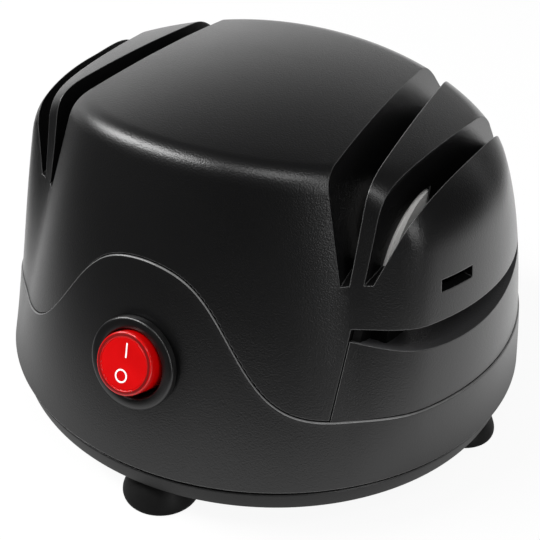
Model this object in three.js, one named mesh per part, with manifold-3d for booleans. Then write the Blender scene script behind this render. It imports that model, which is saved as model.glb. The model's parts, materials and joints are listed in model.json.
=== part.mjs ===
// Electric knife sharpener: a round domed housing with two pairs of V-shaped knife slots, a recess for
// scissors, a port for screwdrivers, a round rocker switch and a motor that turns two grinding wheels.
// Millimetres, +Z up, the front with the switch faces -Y, and the origin is on the floor below the centre.
import * as THREE from "three";
import { ConvexGeometry } from "three/addons/geometries/ConvexGeometry.js";
import { mergeVertices } from "three/addons/utils/BufferGeometryUtils.js";
import Module from "manifold-3d";

const wasm = await Module();
wasm.setup();
const { degToRad, lerp, smoothstep } = THREE.MathUtils;

// Driving dimensions: the body
const seamRadius = 74; // outer radius at the dark seam above the bottom rim
const footDrop = 10; // from the floor up to the rim
const rimHeight = 7.5; // from the rim's lower edge up to the seam
const partingHeight = 17.1; // from the seam up to the line between base and top housing
const waveHeight = 52.2; // from the seam up to the crest of that line over the switch
const slotFloorHeight = 50.5; // from the seam up to the floor of the knife slots
const slotDepth = 32.1; // from that floor up to the crown's highest level
const apexHeight = slotFloorHeight + slotDepth;
const shellWall = 2.5; // thickness of the moulded shells
const partGap = 0.3; // clearance between neighbouring pieces
const baseProud = 0.4; // how far the base stands out past the top housing
const seam = footDrop + rimHeight; // the seam's level above the floor
const overrun = 20; // how far a cutting solid runs past what it cuts

// Shape of the wall: a leaning cone in front, fuller at the sides, with a soft corner between them
const frontLeanShare = 0.265;
const sideLeanShare = 0.1;
const sideBowRadius = 833;
const cornerStart = degToRad(44);
const cornerEnd = degToRad(62);
const backShift = 38; // how far the back wall has come forward at backShiftHeight
const backShiftHeight = 76;
const wallSoftShare = 0.05;

// Shape of the crown: a shallow dome, and how far its rounding reaches into the wall and the dome
const crownRadiusAcross = 165;
const crownRadiusAlong = 400;
const crownMiddle = 6;
const frontRounding = 4.6;
const sideRounding = 12.8;
const backRounding = 7;
const backCornerStart = degToRad(106);
const backCornerEnd = degToRad(130);

// Wave of the parting line, as angles from the front
const waveTopAngle = degToRad(6);
const waveEndAngle = degToRad(38.5);

// Knife slots on the +X side: each wall's place at the slot's front tip, its lean and its fan in plan
const slotTipShare = 0.578; // of the seam radius, from the centre to the slots' front tips
const slotTipDepth = slotTipShare * seamRadius;
const slotFloorWidth = 1.8;
const slotPlaceShare = 0.584; // of the seam radius, from the centre plane to the inner slot's front tip
const slotSpacing = 4.4; // between the front tips of the two slots of a side
const innerSlotPlace = slotPlaceShare * seamRadius;
const outerSlotPlace = innerSlotPlace + slotSpacing;
const centreWall = { side: -1, place: innerSlotPlace, leanShare: -0.266, fanShare: -0.052 };
const finInnerWall = { side: 1, place: innerSlotPlace, leanShare: 0.0126, fanShare: -0.095 };
const finOuterWall = { side: -1, place: outerSlotPlace, leanShare: -0.009, fanShare: 0.095 };
const shoulderWall = { side: 1, place: outerSlotPlace, leanShare: 0.3, fanShare: 0.045 };
const slotLining = 2; // thickness of the moulded channel round the slots
const finHollowReach = 24; // how far the fin's hollow runs to the front and the back

// Grinding wheels, shaft and motor
const axleDrop = 4.5; // from the slots' floor down to the axle
const axleHeight = slotFloorHeight - axleDrop;
const axleForwardShare = 0.1892; // of the seam radius, how far the axle lies in front of the centre
const axleForward = axleForwardShare * seamRadius;
const wheelRadius = 18;
const wheelWidth = 7.9;
const wheelOffset = 2.05; // from the inner slot's front tip to the middle of a wheel
const wheelMiddle = innerSlotPlace + wheelOffset;
const wheelClearance = 1.1;
const wheelChamfer = 0.8;
const shaftRadius = 3;
const shaftEnd = 1; // how far the shaft shows past a nut
const hubRadius = 6.5;
const hubWidth = 3.6;
const nutRadius = 5;
const nutWidth = 3.2;
const nutCorners = 6;
const wheelNear = wheelMiddle - wheelWidth / 2 - partGap;
const wheelFar = wheelMiddle + wheelWidth / 2 + partGap;
const axle = new THREE.Vector3(0, -axleForward, seam + axleHeight);

const bracketInset = 11.5; // from a wheel's hub side to an end bracket's inner face
const bracketInner = wheelNear - bracketInset;
const statorSize = 44;
const statorShare = 0.4407; // of the way from the centre plane to a bracket
const statorLength = 2 * statorShare * bracketInner;
const statorCorner = 6;
const boreRadius = 13.6;
const poleWidth = 20;
const windowWidth = 35;
const windowHeight = 29;
const coilCornerShare = 0.8;
const boltPlace = 18;
const boltRadius = 1.6;
const rotorRadius = 13;
const rotorTeeth = 12;
const toothShare = 0.62;
const toothDepth = 3.4;
const windingRadius = 8.8;
const windingShare = 0.1695;
const windingWidth = windingShare * bracketInner;
const commutatorRadius = 6.6;
const commutatorShare = 0.2712;
const commutatorWidth = commutatorShare * bracketInner;
const fanRadius = 17;
const fanClearance = 1.4; // between the fan and the bracket beside it
const fanBlades = 9;
const fanPlate = 1.2;
const bracketThickness = 3;
const bracketBar = 4; // half the width of the bar that holds a bracket's bolts
const bracketFoot = 10; // from a bracket's inner face to the end of its foot
const bearingRadius = 5;
const bearingWidth = 6;
const bearingSeat = 8;
const brushShare = 0.575;
const brushWidth = brushShare * commutatorWidth;
const brushLength = 9;
const brushHolderWall = 1.2;
const standWidth = 34;
const standThickness = 7;
const motorFootDepth = 24; // from the axle down to the brackets' feet
const mountScrewPlace = 11;
const mountScrewLength = 10;

// Switch
const switchHeight = 27.2; // above the seam, measured on the wall
const switchOffset = 1.2; // to the right of the centre plane
const bezelRadius = 11.8;
const bezelProud = 2;
const bezelLip = 1.1;
const switchBodyRadius = 9.9;
const switchDepthShare = 0.2568;
const switchBodyDepth = switchDepthShare * seamRadius;
const rockerRadius = 7.8;
const rockerBoreRadius = 8.8;
const rockerPocket = 6.2;
const rockerRise = 5.4;
const rockerChamfer = 0.5;
const inlayRadius = 6.4; // the brighter disc in the rocker's face
const inlayDepth = 0.25;
const rockerBase = 4;
const rockerPivotDepth = 2;
const rockerSwing = degToRad(17);
const pivotRadius = 1;
const pivotReach = 1.5;
const terminalWidth = 4.8;
const terminalThickness = 0.8;
const terminalLength = 11;
const terminalSeat = 4;
const terminalSpacing = 7;

// Scissors recess and its panel
const panelOffset = 3; // from the inner slot's front tip to the plane of the panel's front seam
const panelPlace = innerSlotPlace + panelOffset;
const recessTop = 40.2; // above the seam
const ledgeHeight = 32.6; // the lowest point of the ledge's edge
const ledgeRadius = 120;
const ledgeAngle = degToRad(73);
const ledgeSlope = degToRad(14);
const ledgeThickness = 2;
const recessBack = wheelMiddle + wheelWidth / 2 + nutWidth; // from the centre plane to its back wall
const recessFrontShare = 0.6216; // of the seam radius, from the centre to the back wall's front end
const recessRearShare = 0.4054;
const recessFront = recessFrontShare * seamRadius;
const recessRear = recessRearShare * seamRadius;
const bladeWindow = 9; // half the length of the window to the grinding wheel
const tongueDrop = 6;

// Screwdriver port
const portHeight = 49.3;
const portAngle = degToRad(70);
const portWidth = 11;
const portOpening = 3.2;
const portDepth = 9;

// Bottom cover, feet and screws
const rimInset = 0.4;
const rimFlare = 1.8; // how much narrower the rim is at its lower edge
const rimLowerRadius = seamRadius - rimFlare;
const floorThickness = 2.5;
const spigotHeight = 4.5;
const spigotWall = 1.8;
const footInset = 11.5; // from the seam radius in to the middle of a foot
const footCircle = seamRadius - footInset;
const footRadius = 10.3;
const footLip = 2;
const footCup = 3.6;
const footShares = [[0.985, 0.14], [0.9, 0.38], [0.74, 0.62], [0.58, 0.82], [0.5, 1]]; // of radius, drop
const footCupShares = [0.5, 0.8]; // of radius and cup height, where the hollow below bends down
const footNeckRadius = 3.2;
const footHeadRadius = 4.6;
const footHeadHeight = 2.6;
const firstFootAngle = degToRad(4);
const ventCount = 7;
const ventWidth = 2.6;
const ventLength = 30;
const ventPitch = 6;
const frontPostInset = 1.7; // from the inner slot's front tip in to the post's middle
const rearPostInset = 3.7;
const frontPostShare = 0.4932; // of the seam radius, from the centre to the front
const rearPostShare = 0.4595;
const frontPost = { x: innerSlotPlace - frontPostInset, y: -frontPostShare * seamRadius };
const rearPost = { x: innerSlotPlace - rearPostInset, y: rearPostShare * seamRadius };
const postRadius = 3.8;
const screwRadius = 1.5;
const screwHeadRadius = 3;
const screwHeadHeight = 1.8;
const screwLength = 16;
const screwBossRadius = 5;
const screwBossHeight = 3;

// Cord gland in the back wall
const glandHeight = 11;
const glandBore = 2.9;
const glandNeck = 4.2;
const glandFlange = 5.4;
const glandFlangeWidth = 1.8;
const glandCollarWidth = 0.7;

// Facets
const outerColumns = 60;
const innerColumns = 24;
const waveColumns = 120;
const wallRows = 6;
const roundingRows = 5;
const crownRows = 3;
const roundSegments = 24;
const smallSegments = 14;
const bezelSegments = 40;
const wheelSegments = 48;

const colour = {
  shell: new THREE.MeshStandardMaterial({ color: 0x1b1b1c, roughness: 0.42, metalness: 0 }),
  base: new THREE.MeshStandardMaterial({ color: 0x1e1e1f, roughness: 0.45, metalness: 0 }),
  bezel: new THREE.MeshStandardMaterial({ color: 0x121212, roughness: 0.3, metalness: 0 }),
  rocker: new THREE.MeshStandardMaterial({ color: 0xd8121a, roughness: 0.18, metalness: 0 }),
  rubber: new THREE.MeshStandardMaterial({ color: 0x0b0b0b, roughness: 0.6, metalness: 0 }),
  fineStone: new THREE.MeshStandardMaterial({ color: 0xdcdad4, roughness: 0.8, metalness: 0 }),
  coarseStone: new THREE.MeshStandardMaterial({ color: 0x7d756c, roughness: 0.9, metalness: 0 }),
  steel: new THREE.MeshStandardMaterial({ color: 0xa7a9ac, roughness: 0.35, metalness: 1 }),
  iron: new THREE.MeshStandardMaterial({ color: 0x6f7174, roughness: 0.5, metalness: 0.9 }),
  zinc: new THREE.MeshStandardMaterial({ color: 0x9a9c9e, roughness: 0.5, metalness: 0.8 }),
  copper: new THREE.MeshStandardMaterial({ color: 0xb5652f, roughness: 0.35, metalness: 0.9 }),
  bronze: new THREE.MeshStandardMaterial({ color: 0x9c7440, roughness: 0.45, metalness: 0.8 }),
  brass: new THREE.MeshStandardMaterial({ color: 0xc7a14a, roughness: 0.3, metalness: 1 }),
  carbon: new THREE.MeshStandardMaterial({ color: 0x2b2b2d, roughness: 0.7, metalness: 0.1 }),
  fan: new THREE.MeshStandardMaterial({ color: 0xe4e2da, roughness: 0.5, metalness: 0 }),
};

const sharpener = new THREE.Group();

// Solids from closed three.js geometry, and back
function solid(geometry) {
  const bare = geometry.clone();
  bare.deleteAttribute("normal");
  bare.deleteAttribute("uv");
  const merged = mergeVertices(bare, 1e-4);
  const vertProperties = new Float32Array(merged.attributes.position.array);
  const triVerts = new Uint32Array(merged.index.array);
  return new wasm.Manifold(new wasm.Mesh({ numProp: 3, vertProperties, triVerts }));
}

function geometryOf(body) {
  const { vertProperties, triVerts } = body.getMesh();
  const indexed = new THREE.BufferGeometry();
  indexed.setAttribute("position", new THREE.BufferAttribute(vertProperties, 3));
  indexed.setIndex(new THREE.BufferAttribute(triVerts, 1));
  const flat = indexed.toNonIndexed();
  flat.computeVertexNormals();
  return flat;
}

function addPiece(name, body, material) {
  const mesh = new THREE.Mesh(geometryOf(body), material);
  mesh.name = name;
  sharpener.add(mesh);
}

const joined = (first, ...others) => others.reduce((sum, other) => sum.add(other), first);
const cut = (first, ...others) => others.reduce((rest, other) => rest.subtract(other), first);

function block(x0, x1, y0, y1, z0, z1) {
  const geometry = new THREE.BoxGeometry(x1 - x0, y1 - y0, z1 - z0);
  return solid(geometry.translate((x0 + x1) / 2, (y0 + y1) / 2, (z0 + z1) / 2));
}

// A turned piece: its profile runs up the outside from the axis or from a bore, and its axis is +Z
function turned(profile, segments = roundSegments) {
  const points = profile.map(([radius, height]) => new THREE.Vector2(radius, height));
  return new THREE.LatheGeometry(points, segments).rotateX(Math.PI / 2);
}

const rod = (radius, low, high, segments) =>
  turned([[0, low], [radius, low], [radius, high], [0, high]], segments);

const tube = (inner, outer, low, high, segments) =>
  turned([[inner, low], [outer, low], [outer, high], [inner, high], [inner, low]], segments);

// The same, lying along +X from the axle
const alongAxle = (geometry) => solid(geometry.rotateY(Math.PI / 2).translate(...axle));

const hull = (corners) => solid(new ConvexGeometry(corners));

// The outer surface as a radius at an angle from the front and a height above the seam
function softLesser(a, b, softness) {
  const middle = Math.min(a, b);
  const sum = Math.exp((middle - a) / softness) + Math.exp((middle - b) / softness);
  return middle - softness * Math.log(sum);
}

function wallRadius(angle, height) {
  const turn = Math.abs(angle);
  const front = seamRadius - frontLeanShare * height;
  const side = seamRadius - sideLeanShare * height - height ** 2 / (2 * sideBowRadius);
  const body = lerp(front, side, smoothstep(turn, cornerStart, cornerEnd));
  const shift = backShift * (height / backShiftHeight) ** 2;
  const back = shift * Math.cos(turn) + Math.sqrt(seamRadius ** 2 - (shift * Math.sin(turn)) ** 2);
  return softLesser(body, back, wallSoftShare * Math.max(height, partGap));
}

function crownHeightAt(radius, angle) {
  const x = radius * Math.sin(angle);
  const y = -radius * Math.cos(angle);
  return apexHeight - x ** 2 / (2 * crownRadiusAcross) - (y - crownMiddle) ** 2 / (2 * crownRadiusAlong);
}

// One column of the surface, inset by a wall's thickness: up the wall, round the corner, over the crown
function column(angle, inset) {
  let edgeHeight = apexHeight;
  let edgeRadius = seamRadius;
  for (let pass = 0; pass < 16; pass++) {
    edgeRadius = wallRadius(angle, edgeHeight) - inset;
    edgeHeight = crownHeightAt(edgeRadius, angle) - inset;
  }
  const sideShare = smoothstep(Math.abs(angle), cornerStart, cornerEnd);
  const backShare = smoothstep(Math.abs(angle), backCornerStart, backCornerEnd);
  const rounding = lerp(lerp(frontRounding, sideRounding, sideShare), backRounding, backShare);
  const reach = rounding - Math.max(inset, 0);
  const wallEnd = edgeHeight - reach;
  const crownEnd = edgeRadius - reach;
  const points = [];
  for (let row = 0; row <= wallRows; row++) {
    const height = (wallEnd * row) / wallRows;
    points.push([wallRadius(angle, height) - inset, height]);
  }
  const [startRadius, startHeight] = points[wallRows];
  const endHeight = crownHeightAt(crownEnd, angle) - inset;
  for (let row = 1; row <= roundingRows; row++) {
    const t = row / roundingRows;
    const weights = [(1 - t) ** 2, 2 * t * (1 - t), t ** 2];
    points.push([
      weights[0] * startRadius + weights[1] * edgeRadius + weights[2] * crownEnd,
      weights[0] * startHeight + weights[1] * edgeHeight + weights[2] * endHeight,
    ]);
  }
  for (let row = 1; row < crownRows; row++) {
    const radius = crownEnd * (1 - row / crownRows);
    points.push([radius, crownHeightAt(radius, angle) - inset]);
  }
  return points;
}

const anglesOf = (count) =>
  Array.from({ length: count }, (_, i) => ((2 * i - count) * Math.PI) / count);

const atAngle = (radius, angle, height) =>
  new THREE.Vector3(radius * Math.sin(angle), -radius * Math.cos(angle), seam + height);

// A closed solid from rings of points, with a middle point for its floor and one for its top
function loft(rings, floorPoint, topPoint) {
  const count = rings[0].length;
  const points = [floorPoint, ...rings.flat(), topPoint];
  const last = points.length - 1;
  const index = [];
  for (let i = 0; i < count; i++) {
    const next = (i + 1) % count;
    index.push(0, 1 + next, 1 + i);
    index.push(last, last - count + i, last - count + next);
    for (let ring = 0; ring + 1 < rings.length; ring++) {
      const low = 1 + ring * count;
      const high = low + count;
      index.push(low + i, low + next, high + next, low + i, high + next, high + i);
    }
  }
  return solid(new THREE.BufferGeometry().setFromPoints(points).setIndex(index));
}

// The whole body above the seam, inset from the outer surface, with a skirt below the seam if asked
function bodyForm(inset, count, skirt = 0) {
  const angles = anglesOf(count);
  const columns = angles.map((angle) => column(angle, inset));
  const rings = columns[0].map((_, row) =>
    columns.map((points, i) => atAngle(points[row][0], angles[i], points[row][1])),
  );
  if (skirt > 0) rings.unshift(angles.map((angle) => atAngle(seamRadius - inset, angle, -skirt)));
  const top = atAngle(0, 0, crownHeightAt(0, 0) - inset);
  return loft(rings, atAngle(0, 0, -skirt), top);
}

// The parting line's height, and the spaces above and below it
function waveHeightAt(angle) {
  const rise = 1 - smoothstep(Math.abs(angle), waveTopAngle, waveEndAngle);
  return lerp(partingHeight, waveHeight, rise);
}

function spaceBelowWave(lift) {
  const wide = seamRadius + overrun;
  const narrow = seamRadius - 2 * overrun;
  const angles = anglesOf(waveColumns).filter((angle, i) => Math.abs(angle) < cornerStart || i % 5 === 0);
  const flat = angles.map((angle) => atAngle(wide, angle, -overrun));
  const outer = angles.map((angle) => atAngle(wide, angle, waveHeightAt(angle) + lift));
  const inner = angles.map((angle) => atAngle(narrow, angle, waveHeightAt(angle) + lift));
  return loft([flat, outer, inner], atAngle(0, 0, -overrun), atAngle(0, 0, partingHeight + lift));
}

const outerForm = bodyForm(0, outerColumns);
const innerForm = bodyForm(shellWall, innerColumns, overrun);
const spine = bodyForm(shellWall / 2, innerColumns, overrun);

// Knife slots
function slotWallAt(wall, y, height) {
  const back = y + slotTipDepth;
  const up = height - slotFloorHeight;
  return wall.place + (wall.side * slotFloorWidth) / 2 + wall.leanShare * up + wall.fanShare * back;
}

// The floor of a slot climbs towards the back, where its walls draw together
function slotFloorAt(left, right, y) {
  const narrowing = (left.fanShare - right.fanShare) * (y + slotTipDepth);
  return slotFloorHeight + narrowing / (right.leanShare - left.leanShare);
}

// The space between two slot walls from the front to the back, on one side of the body
function slotSpace(side, left, right, margin, drop) {
  const corners = [];
  for (const y of [-seamRadius, seamRadius]) {
    const floor = slotFloorAt(left, right, y);
    for (const height of [floor, apexHeight + overrun]) {
      const level = seam + height - (height === floor ? drop : 0);
      const at = height - (height === floor ? drop : 0);
      corners.push(new THREE.Vector3(side * (slotWallAt(left, y, at) - margin), y, level));
      corners.push(new THREE.Vector3(side * (slotWallAt(right, y, at) + margin), y, level));
    }
  }
  return hull(corners);
}

// The channel that holds both slots of a side, before they are cut
function slotLiningOf(side) {
  const inner = slotSpace(side, centreWall, finInnerWall, slotLining, slotLining);
  const outer = slotSpace(side, finOuterWall, shoulderWall, slotLining, slotLining);
  return joined(inner, outer, finOf(side, 0, seamRadius, apexHeight + overrun));
}

// The fin between the two slots, or the hollow in it
function finOf(side, inset, reach, top) {
  const corners = [];
  for (const y of [-reach, reach]) {
    for (const height of [slotFloorHeight - slotLining - inset, top]) {
      corners.push(new THREE.Vector3(side * (slotWallAt(finInnerWall, y, height) + inset), y, seam + height));
      corners.push(new THREE.Vector3(side * (slotWallAt(finOuterWall, y, height) - inset), y, seam + height));
    }
  }
  return hull(corners);
}

// Shapes drawn in the Y-Z plane and extruded along X between two places beside the axle
function plateAcross(shape, from, to) {
  const geometry = new THREE.ExtrudeGeometry(shape, {
    depth: to - from,
    bevelEnabled: false,
    curveSegments: roundSegments / 4,
  });
  const turn = new THREE.Matrix4().makeBasis(
    new THREE.Vector3(0, 1, 0),
    new THREE.Vector3(0, 0, 1),
    new THREE.Vector3(1, 0, 0),
  );
  return solid(geometry.applyMatrix4(turn).translate(from, axle.y, axle.z));
}

// Room for a wheel, and for its hub and nut on either side of it
function wheelWell(side) {
  const rodBetween = (near, far, radius, segments) =>
    alongAxle(rod(radius, Math.min(side * near, side * far), Math.max(side * near, side * far), segments));
  return joined(
    rodBetween(wheelNear - hubWidth - partGap, wheelFar, hubRadius + 2 * partGap, roundSegments),
    rodBetween(wheelNear, wheelFar, wheelRadius + wheelClearance, wheelSegments),
    rodBetween(wheelNear, wheelFar + nutWidth + shaftRadius, nutRadius + 2 * partGap, roundSegments),
  );
}

// Posts for the housing screws, hanging from the slot channels
const floorTop = footDrop + floorThickness;
const bossTop = floorTop + screwBossHeight;

function postsOf(side) {
  return [frontPost, rearPost].map(({ x, y }) => {
    const top = slotFloorAt(centreWall, finInnerWall, y);
    const post = rod(postRadius, bossTop + partGap, seam + top);
    return spine.intersect(solid(post.translate(side * x, y, 0)));
  });
}

function screwBoresOf(side) {
  return [frontPost, rearPost].map(({ x, y }) => {
    const top = footDrop + screwLength + 2 * screwRadius;
    const bore = rod(screwRadius + partGap, footDrop, top, smallSegments);
    return solid(bore.translate(side * x, y, 0));
  });
}

// The port for screwdrivers, a rectangular hole square to the wall
function screwdriverPort() {
  const radius = wallRadius(portAngle, portHeight);
  const geometry = new THREE.BoxGeometry(portWidth, portDepth, portOpening);
  geometry.rotateZ(portAngle);
  const { x, y, z } = atAngle(radius, portAngle, portHeight);
  return solid(geometry.translate(x, y, z));
}

// The trough of the scissors recess: a wide arc that drops inwards, its bottom on the ledge's edge
function recessTrough(radius) {
  const half = Math.asin((2 * overrun) / radius);
  const shape = new THREE.Shape();
  shape.absarc(0, radius, radius, -Math.PI / 2 - half, -Math.PI / 2 + half, false);
  shape.lineTo(radius * Math.sin(half), recessTop);
  shape.lineTo(-radius * Math.sin(half), recessTop);
  shape.closePath();
  const geometry = new THREE.ExtrudeGeometry(shape, {
    depth: 4 * overrun,
    bevelEnabled: false,
    curveSegments: smallSegments,
  });
  return geometry;
}

// Places a trough so that its arc crosses the outer wall at the ledge's height
function placedTrough(geometry, lift) {
  const edge = atAngle(wallRadius(ledgeAngle, ledgeHeight), ledgeAngle, ledgeHeight + lift);
  const outward = new THREE.Vector3(Math.sin(ledgeAngle), -Math.cos(ledgeAngle), 0);
  const up = new THREE.Vector3(0, 0, 1);
  const across = new THREE.Vector3().crossVectors(up, outward);
  const frame = new THREE.Matrix4().makeBasis(across, up, outward);
  geometry.translate(0, 0, -2 * overrun).rotateX(-ledgeSlope);
  return solid(geometry.applyMatrix4(frame).translate(edge.x, edge.y, edge.z));
}

const recessLevel = seam + recessTop;
const panelSpace = block(
  panelPlace, seamRadius + overrun, -seamRadius - overrun, seamRadius + overrun, 0, recessLevel,
);

function topHousing() {
  let body = cut(outerForm, innerForm);
  for (const side of [-1, 1]) {
    body = joined(body, outerForm.intersect(slotLiningOf(side)));
  }
  const ceiling = block(
    recessBack - ledgeThickness, seamRadius, -recessFront, recessRear,
    recessLevel, recessLevel + ledgeThickness,
  );
  const bulkhead = block(
    panelPlace - ledgeThickness, panelPlace, -seamRadius, -recessFront + ledgeThickness,
    seam + partingHeight, recessLevel + ledgeThickness,
  );
  body = joined(body, spine.intersect(ceiling), spine.intersect(bulkhead));
  body = cut(body, panelSpace, screwdriverPort());
  body = body.subtract(spaceBelowWave(partGap / 2));
  body = joined(body, ...postsOf(-1), ...postsOf(1));
  for (const side of [-1, 1]) {
    body = cut(
      body,
      slotSpace(side, centreWall, finInnerWall, 0, 0),
      slotSpace(side, finOuterWall, shoulderWall, 0, 0),
      finOf(side, slotLining, finHollowReach, apexHeight).intersect(innerForm),
      wheelWell(side),
      ...screwBoresOf(side),
    );
  }
  return body;
}

// Base housing: the skirt under the parting line, with the switch's hole and the gland's hole
const switchPoint = atAngle(wallRadius(0, switchHeight) + baseProud, 0, switchHeight);
switchPoint.x = switchOffset;
const wallLean = Math.atan(frontLeanShare);

// Places a piece that was made with +Z along the switch's push direction, outwards
function atSwitch(geometry) {
  return solid(geometry.rotateX(Math.PI / 2 - wallLean).translate(...switchPoint));
}

const glandPoint = atAngle(wallRadius(Math.PI, glandHeight) + baseProud, Math.PI, glandHeight);
const glandLean = Math.atan((2 * backShift * glandHeight) / backShiftHeight ** 2);

function atGland(geometry) {
  return solid(geometry.rotateX(glandLean - Math.PI / 2).translate(...glandPoint));
}

function baseHousing() {
  const shell = cut(bodyForm(-baseProud, outerColumns), innerForm);
  const skirt = shell.intersect(spaceBelowWave(-partGap / 2));
  const switchHole = atSwitch(rod(switchBodyRadius + partGap, -overrun / 2, overrun / 2));
  const glandHole = atGland(rod(glandNeck + partGap, -overrun / 2, overrun / 2, 24));
  return cut(skirt, switchHole, glandHole);
}

// Scissors panel: the shell below the recess, with its dished ledge and a tongue inside the base
function scissorsPanel() {
  const low = seam + partingHeight + partGap / 2;
  const wide = seamRadius + overrun;
  const region = block(panelPlace + partGap, wide, -wide, wide, low, recessLevel - partGap);
  const shell = cut(outerForm, innerForm).intersect(region);
  const troughTop = placedTrough(recessTrough(ledgeRadius), 0);
  const troughUnder = placedTrough(recessTrough(ledgeRadius), -ledgeThickness);
  const inside = recessBack - ledgeThickness;
  const shelfBlock = block(inside, wide, -recessFront, recessRear, low, recessLevel);
  const ledge = spine.intersect(shelfBlock).intersect(troughUnder).intersect(region);
  const backBlock = block(inside, recessBack, -recessFront, recessRear, low, recessLevel - partGap);
  const window = block(
    recessBack - 2 * ledgeThickness, recessBack + ledgeThickness,
    axle.y - bladeWindow, axle.y + bladeWindow, seam + ledgeHeight - ledgeThickness, recessLevel,
  );
  const back = spine.intersect(backBlock).subtract(window);
  const hidden = bodyForm(shellWall + partGap, innerColumns);
  const core = bodyForm(shellWall + partGap + spigotWall, innerColumns);
  const tongueBlock = block(
    panelPlace + spigotWall, wide, -slotTipDepth / 2, slotTipDepth / 2,
    seam + partingHeight - tongueDrop, low + tongueDrop,
  );
  const tongue = cut(hidden, core).intersect(tongueBlock);
  const pad = cut(spine, core).intersect(tongueBlock).intersect(region);
  return joined(cut(joined(shell, ledge, tongue, pad), troughTop), back);
}

// Bottom cover: floor, rim, spigot, screw bosses, vents and the two stands that carry the motor
const standTop = seam + axleHeight - motorFootDepth - partGap;
const standMiddle = bracketInner + bracketFoot - standThickness / 2;

function bottomCover() {
  const rimTop = seam - partGap;
  const flatShare = Math.cos(Math.PI / innerColumns);
  const spigotRadius = (wallRadius(0, spigotHeight) - shellWall) * flatShare - partGap;
  let cover = solid(
    turned([
      [0, footDrop],
      [rimLowerRadius, footDrop],
      [seamRadius - rimInset, rimTop],
      [spigotRadius, rimTop],
      [spigotRadius, seam + spigotHeight],
      [spigotRadius - spigotWall, seam + spigotHeight],
      [spigotRadius - spigotWall, floorTop],
      [0, floorTop],
    ], outerColumns),
  );
  for (const side of [-1, 1]) {
    const x = side * standMiddle;
    const stand = block(
      x - standThickness / 2, x + standThickness / 2,
      axle.y - standWidth / 2, axle.y + standWidth / 2,
      footDrop + floorThickness / 2, standTop,
    );
    cover = cover.add(stand);
    for (const { x: place, y } of [frontPost, rearPost]) {
      const boss = rod(screwBossRadius, footDrop + floorThickness / 2, bossTop);
      const head = rod(screwHeadRadius + partGap, 0, footDrop + screwHeadHeight + partGap);
      cover = cover.add(solid(boss.translate(side * place, y, 0)));
      cover = cover.subtract(solid(head.translate(side * place, y, 0)));
    }
    for (const bore of screwBoresOf(side)) cover = cover.subtract(bore);
    for (const end of [-1, 1]) {
      const hole = rod(boltRadius + partGap, standTop - mountScrewLength, standTop + overrun, smallSegments);
      cover = cover.subtract(solid(hole.translate(x, axle.y + end * mountScrewPlace, 0)));
    }
  }
  for (const angle of footAngles) {
    const hole = rod(footNeckRadius + partGap, 0, seam);
    cover = cover.subtract(solid(hole.translate(...footPlace(angle))));
  }
  for (let vent = 0; vent < ventCount; vent++) {
    const x = (vent - (ventCount - 1) / 2) * ventPitch;
    const y0 = axle.y - ventLength / 2;
    cover = cover.subtract(block(x - ventWidth / 2, x + ventWidth / 2, y0, y0 + ventLength, 0, seam));
  }
  return cover;
}

// Suction feet
const footNames = ["front", "right", "rear", "left"];
const footAngles = footNames.map((_, i) => firstFootAngle + (i * Math.PI) / 2);
const footPlace = (angle) => [footCircle * Math.sin(angle), -footCircle * Math.cos(angle), 0];

function suctionFoot(angle) {
  const under = footDrop - partGap;
  const profile = [
    [0, footCup],
    [footRadius * footCupShares[0], footCup * footCupShares[1]],
    [footRadius - footLip, 0],
    [footRadius, 0],
    ...footShares.map(([radiusShare, dropShare]) => [footRadius * radiusShare, under * dropShare]),
    [footNeckRadius, under],
    [footNeckRadius, floorTop + partGap],
    [footHeadRadius, floorTop + partGap],
    [footNeckRadius, floorTop + partGap + footHeadHeight],
    [0, floorTop + partGap + footHeadHeight],
  ];
  return solid(turned(profile).translate(...footPlace(angle)));
}

function housingScrew(side, { x, y }) {
  const profile = [
    [0, footDrop],
    [screwHeadRadius, footDrop],
    [screwHeadRadius, footDrop + screwHeadHeight],
    [screwRadius, footDrop + screwHeadHeight],
    [screwRadius, footDrop + screwLength],
    [0, footDrop + screwLength + screwRadius],
  ];
  return solid(turned(profile, smallSegments).translate(side * x, y, 0));
}

// Switch: bezel and body in one moulding, rocker with its pivots, and terminals
function switchBody() {
  const body = solid(
    turned([
      [0, -switchBodyDepth],
      [switchBodyRadius, -switchBodyDepth],
      [switchBodyRadius, partGap],
      [bezelRadius, partGap],
      [bezelRadius, bezelProud - bezelLip / 2],
      [bezelRadius - bezelLip, bezelProud + partGap],
      [rockerBoreRadius + bezelLip, bezelProud + partGap],
      [rockerBoreRadius, bezelProud - bezelLip / 2],
      [rockerBoreRadius, -rockerPocket],
      [0, -rockerPocket],
    ], bezelSegments),
  );
  const reach = rockerRadius + pivotReach + partGap;
  const pivots = rod(pivotRadius + partGap, -reach, reach, smallSegments).rotateY(Math.PI / 2);
  let whole = body.subtract(solid(pivots.translate(0, 0, -rockerPivotDepth)));
  for (const end of [-1, 1]) {
    const y = (end * terminalSpacing) / 2;
    const slot = block(
      -terminalWidth / 2 - partGap, terminalWidth / 2 + partGap,
      y - terminalThickness / 2 - partGap, y + terminalThickness / 2 + partGap,
      -switchBodyDepth - overrun, -switchBodyDepth + terminalSeat + partGap,
    );
    whole = whole.subtract(slot);
  }
  return atSwitch(geometryOf(whole));
}

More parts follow.
